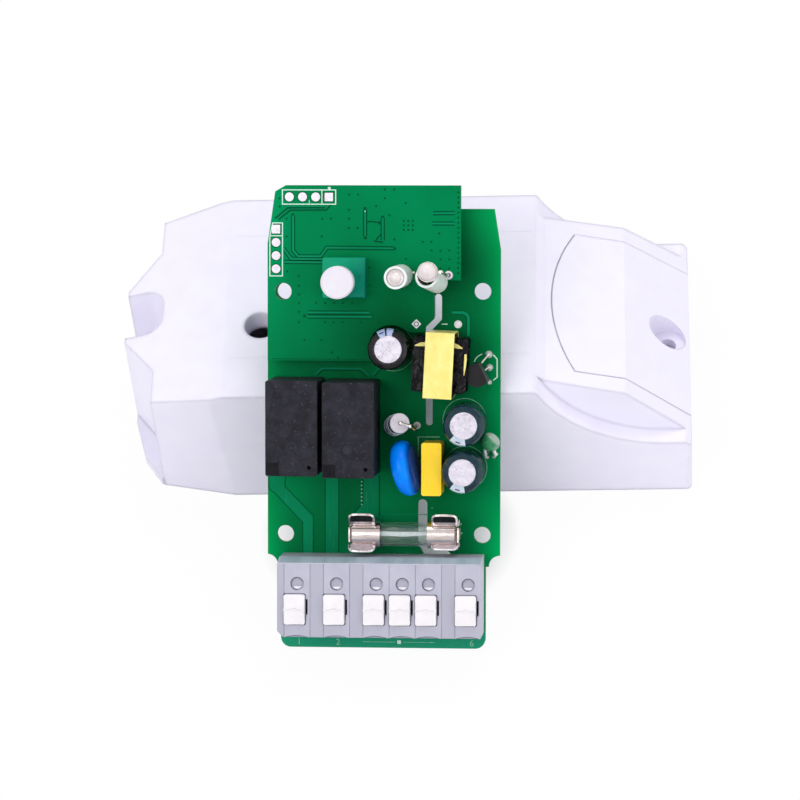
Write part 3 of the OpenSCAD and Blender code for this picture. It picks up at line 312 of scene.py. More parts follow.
def flecked(s, tone):
    """Specks of solder and flux that cling to the wide tracks."""
    specks = s.ramp(s.noise(1500, 5.0, (1.0, 0.5, 1.0), 0.8), 0.56, 0.64)
    reach = s.near(*s.board_xy(), (-8.5, 24.5), 11.0)
    return s.mix(s.calc("MULTIPLY", specks, reach), tone, (128, 190, 160))


# How far off the cover's box the edges begin to look softer and are at their softest, millimetres
SEAM_NEAR, SEAM_OFF = 0.3, 2.0


def case_plastic(name, base, shade, near_seam, away):
    """White moulding whose edges look soft, and crisper beside the cover's seam."""
    s = Shade(name)
    s.colour(s.tones(s.noise(220, 4.0), base, shade, 0.3, 0.7))
    s.rough(s.noise(660, 3.0), 0.31, 0.42)
    x, y = (s.measure(Vector(axis)) for axis in ((1, 0, 0), (0, 1, 0)))
    off = s.calc("MAXIMUM", s.calc("SUBTRACT", cover_lo.x / MM, x), s.calc("SUBTRACT", cover_lo.y / MM, y))
    off = s.calc("MAXIMUM", off, s.calc("SUBTRACT", y, cover_hi.y / MM))
    s.round_edges(s.ramp(off, SEAM_NEAR, SEAM_OFF, near_seam, away))
    s.bump(s.noise(5200, 2.0), 0.03)
    return s.done(specular=0.3)


def grey_tone(s, tone):
    """Darker between the ways and low on the front. The thin far ramp lets the board's green through."""
    x, y = s.board_xy()
    cell = None
    for way in WAYS:
        inside = s.calc("LESS_THAN", s.calc("ABSOLUTE", s.calc("SUBTRACT", x, way)), WAY_HALF)
        cell = inside if cell is None else s.calc("MAXIMUM", cell, inside)
    tone = s.mix(cell, (176, 175, 190), tone)
    tone = s.mix(s.ramp(y, 9.0, 4.2, 0.0, 0.35), tone, (166, 166, 180))
    upward = s.calc("GREATER_THAN", s.facing(2, "True Normal"), 0.12)
    through = s.calc("MULTIPLY", s.ramp(y, 18.55, 18.75), upward)
    streaks = s.tones(s.noise(420, 2.0, (1.0, 0.1, 0.1)), (184, 199, 211), (160, 180, 191))
    return s.mix(through, tone, streaks)


def dusted(s, tone):
    """Fine pale specks on a relay."""
    return s.mix(s.ramp(s.noise(2100, 3.0), 0.62, 0.72, 0.0, 0.55), tone, (78, 78, 90))


def dark_side(s, tone):
    """Painted shade: the varistor is nearly black-blue down the side that faces the box beside it."""
    return s.mix(s.ramp(s.facing(0, "Normal"), 0.3, 0.75), tone, (0, 58, 132))


def thin_edge(s, tone):
    """Painted reflection: the green drop is paler and pinkish towards its upper end."""
    return s.mix(s.ramp(s.calc("ADD", *s.board_xy()), 63.5, 64.3, smooth=True), tone, (156, 178, 162))


def silver_end(s, tone):
    """The silvery, lightly stained upper end that the photo shows on the diode."""
    lean, turn = math.radians(DIODE_LEAN), math.radians(DIODE_TURN)
    axis = Vector((math.sin(lean) * math.cos(turn), math.sin(lean) * math.sin(turn), math.cos(lean)))
    height = s.measure(BOARD.to_3x3() @ axis, BOARD @ (Vector(DIODE_AT) * MM))
    silver = s.calc("GREATER_THAN", height, DIODE_SILVER)
    stain = s.calc("MULTIPLY", s.ramp(s.noise(1500, 4.0), 0.55, 0.7, 0.0, 0.4), silver)
    return s.mix(stain, s.mix(silver, tone, (206, 200, 209)), (170, 158, 168))


def sleeve(name, base, shade):
    """Shrunk film over a can: thin, glossy, slightly rippled."""
    return finish(name, (900, 3.0), base, shade, ((1500, 2.0), 0.16, 0.3), [((700, 2.0), 0.35)],
                  (0.35, 0.7), specular=0.3)


def pressed_aluminium():
    """The cans' tops: fine rolled lines, handling smudges."""
    s = Shade("pressed_aluminium")
    lines = s.noise(1500, 3.0, (0.2, 1.0, 1.0), 0.2)
    marks = s.noise(1100, 5.0, None, 0.8)
    tone = s.tones(lines, (214, 209, 220), (202, 196, 209))
    s.colour(s.mix(s.ramp(marks, 0.56, 0.72, 0.0, 0.8), tone, (170, 163, 177)))
    s.rough(marks, 0.4, 0.55)
    s.bump(lines, 0.2)
    return s.done(Metallic=0.85)


def wound_material():
    """Black wound tape and lacquered wire: lumpy and glossy."""
    s = Shade("wound_tape")
    lump = s.noise(420, 3.0, (1.0, 1.0, 1.0), 0.6)
    s.colour(s.tones(lump, (5, 4, 8), (17, 14, 22), 0.35, 0.7))
    s.rough(s.noise(1300, 2.0), 0.12, 0.3)
    s.bump(lump, 1.0, 0.0007)
    s.bump(s.noise(2400, 2.0), 0.3)
    return s.done(specular=0.14)


def cast_resin(name, base, shade, rough, **sockets):
    """Cloudy cast resin."""
    return finish(name, (500, 3.0), base, shade, ((900, 2.0), rough, rough + 0.08), [((1200, 2.0), 0.08)],
                  (0.35, 0.7), **sockets)


def guide_material():
    """Tinted guide block: lighter towards the lamp side's edge, deep at its far corner."""
    s = Shade("guide_teal")
    deep = s.ramp(s.calc("SUBTRACT", *s.board_xy()), -86.0, -75.0, smooth=True)
    cloud = s.ramp(s.noise(500, 3.0), 0.35, 0.65, 0.0, 0.4)
    s.colour(s.mix(cloud, s.mix(deep, (0, 150, 110), (0, 110, 92)), (6, 152, 118)))
    s.rough(s.noise(900, 2.0), 0.25, 0.35)
    s.bump(s.noise(1200, 2.0), 0.05)
    return s.done(specular=0.1)


WHITE, WHITE_SHADE = (240, 237, 250), (237, 233, 249)
MATERIALS = {
    # Case
    "case": case_plastic("case_white", WHITE, WHITE_SHADE, 0.3, 1.4),
    "cover": case_plastic("cover_white", WHITE, WHITE_SHADE, 0.3, 0.3),
    "base": case_plastic("base_white", (236, 234, 246), (230, 227, 241), 0.4, 0.4),
    # Painted shade for the near lip in the gap round the cover
    "seam": moulded("seam_shade", (200, 190, 192), (190, 180, 184), 0.5, specular=0.1),
    # Boards and their print; the boards' green holds painted light and painted shadow
    "board": lacquer("board_green", (0, 126, 72), (0, 108, 58), (4, 142, 88), main_tone),
    "control": lacquer("control_green", (0, 130, 78), (0, 123, 72), (2, 142, 90), control_tone),
    "trace": lacquer("trace_green", (8, 134, 88), (4, 120, 74), (90, 176, 136), flecked),
    "trace_fine": lacquer("trace_light_green", (12, 138, 96), (6, 128, 86), (40, 152, 112)),
    "trace_dark": lacquer("trace_gap_green", (0, 88, 50), (0, 78, 44), (0, 96, 58)),
    "ink": moulded("white_ink", (222, 246, 234), (186, 224, 206), 0.55, 2500, specular=0.1),
    "ink_thin": moulded("worn_ink", (150, 208, 178), (96, 172, 136), 0.55, 1800, specular=0.1),
    "pad": moulded("tinned_pad", (244, 239, 246), (222, 214, 226), 0.35, 1500, 2400, 0.2),
    "flux": finish("flux_amber", (260, 2.0), (132, 84, 10), (96, 62, 8), ((700, 2.0), 0.2, 0.32),
                   [((330, 1.5), 0.3, 0.0002)], coat=0.12, coat_rough=0.1, specular=0.3),
    # Plastics
    "relay": finish("relay_black", (420, 5.0, None, 0.6), (40, 39, 49), (22, 22, 30),
                    ((1260, 3.0), 0.45, 0.56), [((1700, 3.0), 0.4)], painter=dusted, specular=0.16),
    "relay_mark": moulded("relay_mark", (44, 45, 54), (34, 35, 43), 0.45, 900, specular=0.2),
    # Painted shade for the relays' stepped corners
    "relay_step": moulded("relay_step", (20, 20, 28), (12, 12, 18), 0.5, 420, 2600, 0.3, specular=0.12),
    "black": moulded("black_plastic", (18, 18, 23), (10, 10, 13), 0.42, 700, 4000, 0.12, specular=0.22),
    # Near black: painted shade on the floors of the relays' vent holes and the terminal slots, and the
    # sleeves' printed minus bars
    "groove": moulded("dark_gap", (10, 10, 12), (6, 6, 8), 0.7, specular=0.05),
    "key": moulded("key_white", (240, 237, 239), (234, 229, 232), 0.45, 420, 3600, 0.06, specular=0.2,
                   Subsurface_Weight=0.06, Subsurface_Radius=(0.4, 0.35, 0.3), Subsurface_Scale=0.0008),
    # Painted shade line along the buttons' ridges
    "key_line": moulded("button_ridge", (220, 215, 220), (212, 206, 212), 0.45, 900, specular=0.15),
    "cap": moulded("cap_white", (228, 224, 232), (222, 217, 227), 0.32, 300, specular=0.25),
    "grey": finish("terminal_grey", (300, 4.0), (186, 186, 201), (178, 178, 194), ((900, 3.0), 0.34, 0.46),
                   [((4600, 2.0), 0.07)], (0.3, 0.7), grey_tone, specular=0.25),
    # Painted shade for the terminal block's thumb hollows
    "grey_shade": moulded("terminal_shade", (160, 160, 176), (150, 150, 166), 0.5, 900, specular=0.15),
    # Painted highlight along the terminal block's far ridge
    "grey_highlight": moulded("terminal_highlight", (206, 206, 216), (192, 194, 206), 0.4, 900, specular=0.2),
    # Painted shade for the test hole floors, and for the hole rims, button gaps and hollow edges
    "grey_floor": moulded("terminal_floor", (178, 178, 192), (168, 168, 182), 0.5, 900, specular=0.15),
    "grey_gap": moulded("terminal_gap", (112, 112, 126), (96, 96, 110), 0.6, 900, specular=0.1),
    "film": moulded("film_box_yellow", (255, 216, 42), (254, 209, 34), 0.26, 300, 3000, coat=0.1,
                    coat_rough=0.12, specular=0.3),
    "tape": finish("tape_yellow", (500, 2.0, (1.0, 1.0, 0.2)), (246, 235, 146), (238, 222, 120),
                   ((1300, 3.0), 0.18, 0.3), [((320, 3.0), 0.25)], (0.35, 0.7), coat=0.15,
                   coat_rough=0.1, specular=0.3),
    "teal": guide_material(),
    "tube": cast_resin("tube_white", (232, 238, 236), (216, 226, 222), 0.3, IOR=1.5, specular=0.4,
                       Subsurface_Weight=0.1, Subsurface_Scale=0.001),
    "lamp": cast_resin("lamp_resin", (242, 232, 230), (222, 210, 212), 0.12, IOR=1.5, coat=0.3,
                       Transmission_Weight=0.1),
    # Parts with a dip, a sleeve or a winding
    # Painted shade down the varistor's side that faces the box beside it
    "varistor": finish("varistor_blue", (260, 2.0), (0, 136, 255), (0, 118, 242), ((700, 2.0), 0.2, 0.3),
                       [((300, 1.5), 0.7, 0.0002)], painter=dark_side, specular=0.12),
    # Painted reflection, pale and pinkish, on the green drop's upper end
    "choke": finish("dipped_green", (300, 2.0), (60, 146, 98), (36, 124, 76), ((700, 2.0), 0.2, 0.34),
                    [((420, 2.0), 0.5, 0.0002)], painter=thin_edge, coat=0.1, coat_rough=0.12,
                    specular=0.3),
    "diode": finish("diode_bands", (700,), (14, 14, 20), (26, 26, 32), ((900, 2.0), 0.3, 0.45),
                    [((900, 2.0), 0.1)], painter=silver_end, specular=0.25),
    "coil": wound_material(),
    "ferrite": moulded("ferrite", (34, 34, 38), (24, 24, 27), 0.55, 900, 3000, 0.3, specular=0.2),
    "sleeve_dark": sleeve("sleeve_teal", (14, 50, 62), (8, 36, 48)),
    "sleeve_black": sleeve("sleeve_black", (20, 19, 24), (9, 9, 12)),
    "mark": moulded("sleeve_mark", (206, 218, 230), (180, 196, 212), 0.3, 900),
    "mark_blue": moulded("sleeve_mark_blue", (172, 186, 222), (150, 166, 206), 0.3, 900),
    # Metals and glass
    "can": pressed_aluminium(),
    # Painted highlight along the scores on the cans' tops
    "score": moulded("score_highlight", (244, 242, 248), (236, 233, 242), 0.4, 900),
    "tin": metal("bright_tin", (240, 232, 230), (214, 202, 198), 0.14, 700, 0.08),
    # Painted reflections inside the fuse clips' lips: dark on the far ones, grey on the near ones
    "lip_dark": moulded("lip_dark_reflection", (14, 18, 22), (30, 36, 34), 0.3, 1400, specular=0.1),
    "lip_grey_reflection": moulded("lip_grey_reflection", (196, 184, 190), (176, 162, 168), 0.3, 1400, Metallic=0.3,
                        specular=0.2),
    "solder": moulded("solder", (238, 234, 240), (214, 208, 216), 0.22, 1400, 2600, 0.3, Metallic=0.35),
    "steel": metal("spring_steel", (190, 190, 194), (160, 160, 166), 0.3),
    "gold": metal("gold_flash", (214, 184, 112), (190, 158, 90), 0.28),
    "nickel": metal("nickel_cap", (232, 220, 218), (204, 188, 184), 0.2, 500, 0.1, (0.3, 1.0, 1.0)),
    "copper": metal("enamelled_wire", (176, 112, 58), (132, 78, 40), 0.3),
    "screw": metal("screw_steel", (178, 178, 184), (150, 150, 158), 0.32),
    "glass": finish("fuse_glass", (300, 2.0), (244, 251, 248), (236, 247, 242), ((800, 2.0), 0.01, 0.05),
                    [], (0.3, 0.7), Transmission_Weight=0.97, IOR=1.16, specular=0.6, coat=0.5,
                    coat_rough=0.1),
}


# Mesh helpers
# Corners nearer than this are joined, and faces that turn less than this many degrees are merged
JOIN, FLAT_TURN = 0.002 * MM, 0.6
# Turns in degrees from which an edge stays sharp: beside a face of more than BROAD square millimetres, and
# elsewhere, on turned pieces and on strips
BROAD, SHARP_BROAD, SHARP_SMALL, SHARP_TURNED, SHARP_STRIP = 6, 8, 33, 38, 40
LEAST_MITRE = 0.4
CURVE_STEPS = 6


def placed(name, data):
    obj = bpy.data.objects.new(name, data)
    bpy.context.scene.collection.objects.link(obj)
    return obj


def add(name, mesh_data, material, slot, body=ROOT, matrix=None, smooth=True):
    """A mesh as a piece of the object, riding on a body."""
    obj = placed(name, mesh_data)
    if matrix is not None:
        obj.matrix_world = matrix
    mesh_data.materials.clear()
    mesh_data.materials.append(MATERIALS[material])
    if smooth:
        mesh_data.shade_smooth()
    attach(obj, body)
    return obj


def mesh_of(work, name, outward=False):
    """Gathered faces as a mesh, turned to look outwards if asked."""
    if outward:
        bmesh.ops.recalc_face_normals(work, faces=work.faces)
    data = bpy.data.meshes.new(name)
    work.to_mesh(data)
    work.free()
    return data


def face_up(work):
    for face in work.faces:
        face.normal_update()
        if face.normal.z < 0:
            face.normal_flip()


def loft(work, rows, closed=True):
    """Faces from row to row of corners. Closed rows run round and get an end face each."""
    for a, b in zip(rows, rows[1:]):
        for k in range(len(a) if closed else len(a) - 1):
            n = (k + 1) % len(a)
            work.faces.new((a[k], a[n], b[n], b[k]))
    if closed:
        work.faces.new(rows[0])
        work.faces.new(rows[-1])


def soften(obj, width):
    """Rounds an object's weighted edges and keeps its flats flat."""
    bevel = obj.modifiers.new("rounded", "BEVEL")
    bevel.width = width * MM
    bevel.segments = 3
    bevel.limit_method = "WEIGHT"
    bevel.use_clamp_overlap = False
    bevel.miter_outer = "MITER_SHARP"
    flats = obj.modifiers.new("flats", "WEIGHTED_NORMAL")
    flats.mode = "FACE_AREA"
    flats.weight = 100
    flats.keep_sharp = True


def cleaned(node):
    """A CAD node's surface as whole faces: shared corners joined, flats merged."""
    work = bmesh.new()
    work.from_mesh(nodes[node].data)
    bmesh.ops.remove_doubles(work, verts=work.verts, dist=JOIN)
    bmesh.ops.dissolve_limit(work, angle_limit=math.radians(FLAT_TURN), verts=work.verts, edges=work.edges)
    return work


def dress(node, material, slot, width=0, least_edge=0.7, least_face=1.0, angle=24, body=ROOT):
    """Stands for a CAD node, its main edges rounded. With no width the edges are left to the material's
    own rounding, and the flats are shaded flat."""
    work = cleaned(node)
    weight = work.edges.layers.float.new("bevel_weight_edge")
    for edge in work.edges:
        if len(edge.link_faces) != 2:
            continue
        turn = math.degrees(edge.calc_face_angle(0))
        areas = [f.calc_area() / (MM * MM) for f in edge.link_faces]
        edge.smooth = turn < (SHARP_BROAD if max(areas) > BROAD else SHARP_SMALL)
        if turn >= angle and min(areas) >= least_face and edge.calc_length() >= least_edge * MM:
            edge[weight] = 1.0
    if not width:
        for face in work.faces:
            face.smooth = any(edge.smooth and len(edge.link_faces) == 2 for edge in face.edges)
    obj = add(node + "_skin", mesh_of(work, node + "_skin"), material, slot, body, smooth=bool(width))
    if width:
        soften(obj, width)
    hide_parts(node)


def paint(node, material):
    """Gives a CAD node that stays in view its procedural finish."""
    data = nodes[node].data
    data.materials.clear()
    data.materials.append(MATERIALS[material])


def sideways(a, b):
    """The way out of a corner between two directions, and what it stretches by there."""
    side = Vector((-(a + b).y, (a + b).x)).normalized()
    return side, max(LEAST_MITRE, side.dot(Vector((-a.y, a.x))))


def shifted(path, by):
    """A path moved sideways, with its corners kept."""
    points = [Vector(p) for p in path]
    moved = []
    for i, p in enumerate(points):
        a = (p - points[i - 1]).normalized() if i else (points[1] - p).normalized()
        b = (points[i + 1] - p).normalized() if i < len(points) - 1 else a
        side, stretch = sideways(a, b)
        moved.append(tuple(p + side * by / stretch))
    return moved


def around(centre, radius, turn):
    """A point on a circle, by its turn in radians."""
    return (centre[0] + radius * math.cos(turn), centre[1] + radius * math.sin(turn))


class Print:
    """Flat shapes on the board, gathered into one mesh in board millimetres."""

    def __init__(self):
        self.work = bmesh.new()

    def face(self, points, z):
        corners = [self.work.verts.new((x * MM, y * MM, z * MM)) for x, y in points]
        self.work.faces.new(corners)

    def line(self, points, width, z, closed=False):
        """A stroke of one width with mitred corners."""
        path = [Vector(p) for p in points]
        count = len(path)
        left, right = [], []
        for i, p in enumerate(path):
            before = path[i - 1] if (i or closed) else None
            after = path[(i + 1) % count] if (i < count - 1 or closed) else None
            a = (p - before).normalized() if before is not None else None
            b = (after - p).normalized() if after is not None else None
            side, stretch = sideways(a or b, b or a)
            reach = width / 2 / stretch
            left.append(p + side * reach)
            right.append(p - side * reach)
        for i in range(count if closed else count - 1):
            k = (i + 1) % count
            self.face((right[i], right[k], left[k], left[i]), z)

    def disc(self, centre, radius, z, sides=20):
        turn = 2 * math.pi / sides
        self.face([around(centre, radius, i * turn) for i in range(sides)], z)

    def ring(self, centre, inner, outer, z, sides=24, start=0.0, sweep=360.0):
        steps = [math.radians(start + sweep * i / sides) for i in range(sides + 1)]
        for a, b in zip(steps, steps[1:]):
            corners = ((inner, a), (outer, a), (outer, b), (inner, b))
            self.face([around(centre, r, t) for r, t in corners], z)

    def segment(self, centre, radius, start, end, z, steps=16):
        """The part of a disc that a chord cuts off, between two directions in degrees."""
        turns = [math.radians(start + (end - start) * i / steps) for i in range(steps + 1)]
        self.face([around(centre, radius, t) for t in turns], z)

    def box(self, x0, y0, x1, y1, z):
        self.face([(x0, y0), (x1, y0), (x1, y1), (x0, y1)], z)

    def done(self, name, material, slot, body=ROOT, matrix=BOARD):
        bmesh.ops.recalc_face_normals(self.work, faces=self.work.faces)
        face_up(self.work)
        return add(name, mesh_of(self.work, name), material, slot, body, matrix, smooth=False)


def lathe(name, profile, material, slot, matrix, steps=64, start=0.0, sweep=360.0):
    """A turned piece, or a slice of one, from (radius, height) points in millimetres."""
    work = bmesh.new()
    whole = sweep >= 360
    count = steps if whole else steps + 1
    rings = []
    for i in range(count):
        t = math.radians(start + sweep * i / steps)
        c, s = math.cos(t), math.sin(t)
        rings.append([work.verts.new((r * MM * c, r * MM * s, z * MM)) for r, z in profile])
    for i in range(count if whole else count - 1):
        a, b = rings[i], rings[(i + 1) % count]
        for k in range(len(profile) - 1):
            work.faces.new((a[k], b[k], b[k + 1], a[k + 1]))
    bmesh.ops.remove_doubles(work, verts=work.verts, dist=JOIN / 2)
    data = mesh_of(work, name, outward=True)
    add(name, data, material, slot, matrix=matrix)
    data.set_sharp_from_angle(angle=math.radians(SHARP_TURNED))


def on_board(x, y, z=0.0, turn=0.0):
    """A place on the board, in millimetres, with a turn in degrees about the board's normal."""
    return BOARD @ Matrix.Translation(Vector((x, y, z)) * MM) @ Matrix.Rotation(math.radians(turn), 4, "Z")


def rounded(path):
    """Points along a smooth curve through a path's points."""
    smooth = []
    last = len(path) - 1
    for i in range(last):
        p0, p1 = path[max(i - 1, 0)], path[i]
        p2, p3 = path[i + 1], path[min(i + 2, last)]
        for k in range(CURVE_STEPS):
            t = k / CURVE_STEPS
            smooth.append(0.5 * (2 * p1 + (p2 - p0) * t + (2 * p0 - 5 * p1 + 4 * p2 - p3) * t * t
                                 + (3 * p1 - p0 - 3 * p2 + p3) * t ** 3))
    return smooth + [path[-1]]


def tube(name, points, radius, material, slot="tinned_metal", sides=10):
    """A round wire through points in board millimetres, with rounded turns."""
    smooth = rounded([Vector(p) for p in points])
    work = bmesh.new()
    rings = []
    normal = None
    for i, p in enumerate(smooth):
        ahead = (smooth[min(i + 1, len(smooth) - 1)] - smooth[max(i - 1, 0)]).normalized()
        if normal is None:
            normal = ahead.orthogonal().normalized()
        normal = (normal - ahead * normal.dot(ahead)).normalized()
        side = ahead.cross(normal)
        rings.append([work.verts.new((p + radius * (math.cos(a) * normal + math.sin(a) * side)) * MM)
                      for a in (2 * math.pi * k / sides for k in range(sides))])
    loft(work, rings)
    return add(name, mesh_of(work, name, outward=True), material, slot, matrix=BOARD)


def strip(name, points, widths, thick, material, slot):
    """A bent leaf through points, each with its own half width across the board's x and y."""
    work = bmesh.new()
    rows = [[work.verts.new(Vector((x + side * wx, y + side * wy, z + up * thick)) * MM)
             for side, up in ((-1, 0), (1, 0), (1, 1), (-1, 1))]
            for (x, y, z), (wx, wy) in zip(points, widths)]
    loft(work, rows)
    data = mesh_of(work, name, outward=True)
    obj = add(name, data, material, slot, matrix=BOARD)
    data.set_sharp_from_angle(angle=math.radians(SHARP_STRIP))
    return obj


# Case
# The cover's lip, millimetres: its width, and what stays free of it at the case's end and round the bore
LIP_OUT, END_FREE, BORE_HALF, BORE_FROM = 0.2, 0.6, 7, 10
# A rim edge lies between a face that looks up at least this much and a wall that leans no more than this
LOOKS_UP, LEANS = 0.3, 0.1
# Where the ray that looks for open air starts beside the edge, millimetres out and down
RAY_OUT, RAY_DOWN = 0.05, 0.4


def case_skin():
    """The case's three mouldings, and the fine lines on the roof, nearly filled."""
    dress("top_shell", "case", "case_white")
    dress("terminal_cover", "cover", "case_white", body="cover")
    dress("base_plate", "base", "case_white")
    paint("base_screws", "screw")
    lines = Print()
    left, top = shell_lo.x / MM, shell_hi.z / MM - LINE_DEEP
    for side in (-1, 1):
        y = CASE_Y / MM + side * PANEL_HALF
        lines.box(left + ROOF_FROM, y - LINE_HALF, left + ROOF_TO, y + LINE_HALF, top)
    lines.done("roof_lines", "case", "case_white", matrix=Matrix.Identity(4))


def cover_rim(skin):
    """The cover's upper edges with open air beyond them, and the way out across the seam from each."""
    tree = BVHTree.FromBMesh(skin)
    for edge in skin.edges:
        if len(edge.link_faces) != 2:
            continue
        top, wall = sorted(edge.link_faces, key=lambda f: -f.normal.z)
        middle = (edge.verts[0].co + edge.verts[1].co) / 2
        if top.normal.z < LOOKS_UP or abs(wall.normal.z) > LEANS or middle.x > cover_hi.x - END_FREE * MM:
            continue
        if abs(middle.y - CASE_Y) < BORE_HALF * MM and middle.x > cover_lo.x + BORE_FROM * MM:
            continue
        beside = middle + wall.normal * RAY_OUT * MM - Vector((0, 0, RAY_DOWN * MM))
        if not tree.ray_cast(beside, wall.normal)[0]:
            yield edge, wall.normal


def cover_seam():
    """A thin lip in the gap round the cover: on the near side coloured as painted shade, a soft line;
    hardly one on the far side.
    """
    skin = cleaned("terminal_cover")
    rim = list(cover_rim(skin))
    for name, finish, drop, far in (("near", "seam", 0.22, False), ("far", "cover", 0.03, True)):
        lip = bmesh.new()
        for edge, way in rim:
            if (way.y > 0.5) == far:
                a, b = (v.co - Vector((0, 0, drop * MM)) for v in edge.verts)
                out = way * LIP_OUT * MM
                lip.faces.new([lip.verts.new(p) for p in (a, b, b + out, a + out)])
        face_up(lip)
        name = f"cover_lip_{name}"
        add(name, mesh_of(lip, name), finish, "case_white", "cover", smooth=False)
    skin.free()


def plain_nodes():
    """CAD nodes that keep their own mesh, and their finishes."""
    for finish, names in {
        "board": ("main_board",),
        "control": ("control_board",),
        "black": ("board_headers", "tact_switch", "wifi_chip", "flash_chip", "bridge_rectifier",
                  "power_controller", "chip_parts", "transistor"),
        "gold": ("header_pins",),
        "tin": ("crystal", "component_leads", "fuse_wire", "contact_bars"),
        "nickel": ("fuse_caps",),
        "steel": ("clamp_springs",),
        "solder": ("solder_joints",),
        "can": ("output_capacitor_can", "input_capacitor_1_can", "input_capacitor_2_can"),
        "sleeve_dark": ("input_capacitor_1_sleeve", "input_capacitor_2_sleeve"),
        "sleeve_black": ("output_capacitor_sleeve",),
        "ferrite": ("transformer_core",),
        "coil": ("transformer_winding",),
        "varistor": ("varistor",),
        "choke": ("inrush_choke",),
        "diode": ("rectifier_diode",),
        "tube": ("lamp_tube_left", "lamp_tube_right"),
        "lamp": ("lamp_left", "lamp_right"),
        "glass": ("fuse_glass",),
    }.items():
        for name in names:
            paint(name, finish)


def dressed_parts():
    """CAD nodes that get rounded edges: width, least edge, least face, then least turn and body."""
    for row in (
        ("relay_1", "relay", "black_plastic", 0.2, 1.0, 1.0),
        ("relay_2", "relay", "black_plastic", 0.2, 1.0, 1.0),
        ("terminal_block", "grey", "grey_plastic", 0.16, 1.6, 3.0),
        *((f"terminal_button_{n}", "key", "button_white", 0.22, 0.8, 1.5, 40, f"clamp_button_{n}")
          for n in range(1, 7)),
        ("button_cap", "cap", "button_white", 0.2, 0.1, 0.3, 40, "push_button"),
        ("switch_guide", "teal", "teal_plastic", 0.3, 1.0, 2.0),
        ("film_capacitor", "film", "yellow_box", 0.35, 0.5, 1.0),
        ("transformer_tape", "tape", "tape_yellow", 0.12, 1.0, 1.0),
        ("transformer_bobbin", "coil", "black_plastic", 0.4, 0.8, 0.6),
    ):
        dress(*row)


# Board print
def emboss(dark, light, path, z, gap=0.3, width=0.24):
    """A track under the lacquer: its two dark sides and the lighter ridge between them."""
    for side in (-1, 1):
        dark.line(shifted(path, side * gap), width, z)
    light.line(path, gap * 1.1, z + OVER)


def control_print(dark, light, ink, pads):
    """Tracks, holes, pads and outlines on the control board."""
    z = CONTROL_TOP + COPPER_UP
    for path in (
        [(-11.2, 87.42), (-18.45, 87.38), (-21.0, 85.3)],
        [(-10.05, 88.0), (-10.95, 86.98), (-18.0, 86.92), (-20.3, 85.1)],
    ):
        dark.line(path, 0.34, z)
        light.line(shifted(path, -0.28), 0.16, z)
    for path in (
        [(-17.45, 85.9), (-17.45, 79.1), (-16.5, 78.0)],
        [(-16.5, 77.95), (-12.0, 77.95), (-10.85, 79.65), (2.2, 79.55)],
        [(-19.3, 79.5), (-17.85, 77.45), (-11.73, 77.4)],
        [(-19.3, 76.85), (-11.73, 76.8)],
        [(9.9, 86.38), (14.2, 86.46)],
        [(9.8, 84.4), (14.05, 84.4)],
        [(-14.5, 67.0), (-2.5, 67.0)],
        [(-14.6, 66.2), (-2.0, 66.2)],
        [(-3.35, 87.0), (-3.35, 81.9)],
        [(0.1, 85.45), (0.1, 81.1)],
    ):
        emboss(dark, light, path, z)
    # Branches and one speck of the aerial's matching tracks
    for path in ([(-3.3, 84.55), (-2.35, 84.8), (-0.6, 84.6)], [(-1.3, 81.05), (-0.6, 81.95), (0.1, 82.6)],
                 [(-1.6, 80.95), (0.2, 80.75)]):
        dark.line(path, 0.3, z)
        light.line(shifted(path, 0.2), 0.14, z)
    ink.disc((-3.35, 86.75), 0.1, z + 2 * OVER, 8)
    for at in ((-17.5, 86.0), (-3.35, 87.3), (-3.3, 84.5), (-3.3, 81.6), (-0.5, 84.5), (0.1, 85.6),
               (-15.2, 66.3), (-1.9, 66.4), (2.4, 79.5)):
        dark.disc(at, 0.33, z + OVER / 2, 14)
    for at in control_vias():
        dark.disc(at, 0.22, z, 12)

    # Header outlines, pads and the mark of the first one
    up, pad_up = CONTROL_TOP + INK, CONTROL_TOP + PAD_UP
    ink.line([(-19.54, 88.11), (-9.1, 88.11), (-9.1, 90.88), (-19.54, 90.88)], 0.2, up, True)
    ink.line([(-11.79, 88.11), (-11.79, 90.88)], 0.18, up)
    ink.line([(-14.28, 88.11), (-14.28, 88.9)], 0.12, up)
    ink.box(-10.62, 90.9, -10.1, 91.45, up)
    ink.line([(-22.0, 74.1), (-19.53, 74.1), (-19.53, 84.44), (-21.45, 84.44), (-22.0, 81.9)], 0.2, up,
             True)
    ink.line([(-22.0, 81.94), (-19.53, 81.94)], 0.18, up)
    pitch = 2.58
    for i in range(4):
        x, y = -18.18 + pitch * i, 83.23 - pitch * i
        if i == 3:
            dark.box(x - 0.98, 88.5, x + 0.98, 90.5, z)
            pads.box(x - 0.82, 88.68, x + 0.82, 90.32, pad_up)
        else:
            dark.disc((x, 89.52), 1.06, z)
            pads.disc((x, 89.52), 0.88, pad_up)
        if i == 0:
            dark.box(-21.7, y - 1.02, -19.8, y + 1.02, z)
            pads.box(-21.62, y - 0.84, -19.98, y + 0.84, pad_up)
        else:
            dark.disc((-20.79, y), 1.04, z)
            pads.disc((-20.79, y), 0.86, pad_up)
    pads.ring((12.95, 74.35), 0.42, 0.85, pad_up)
    # Bare diamond pad with a hole's rim
    x, y, r = 6.7, 64.84, 0.95
    pads.face([(x, y - r), (x + r, y), (x, y + r), (x - r, y)], pad_up)
    dark.ring((x, y), 0.34, 0.5, pad_up + OVER, 16)
    # Copper boundary along the board's lower end
    dark.line([(-21.6, 57.9), (0.6, 57.9)], 0.14, z)


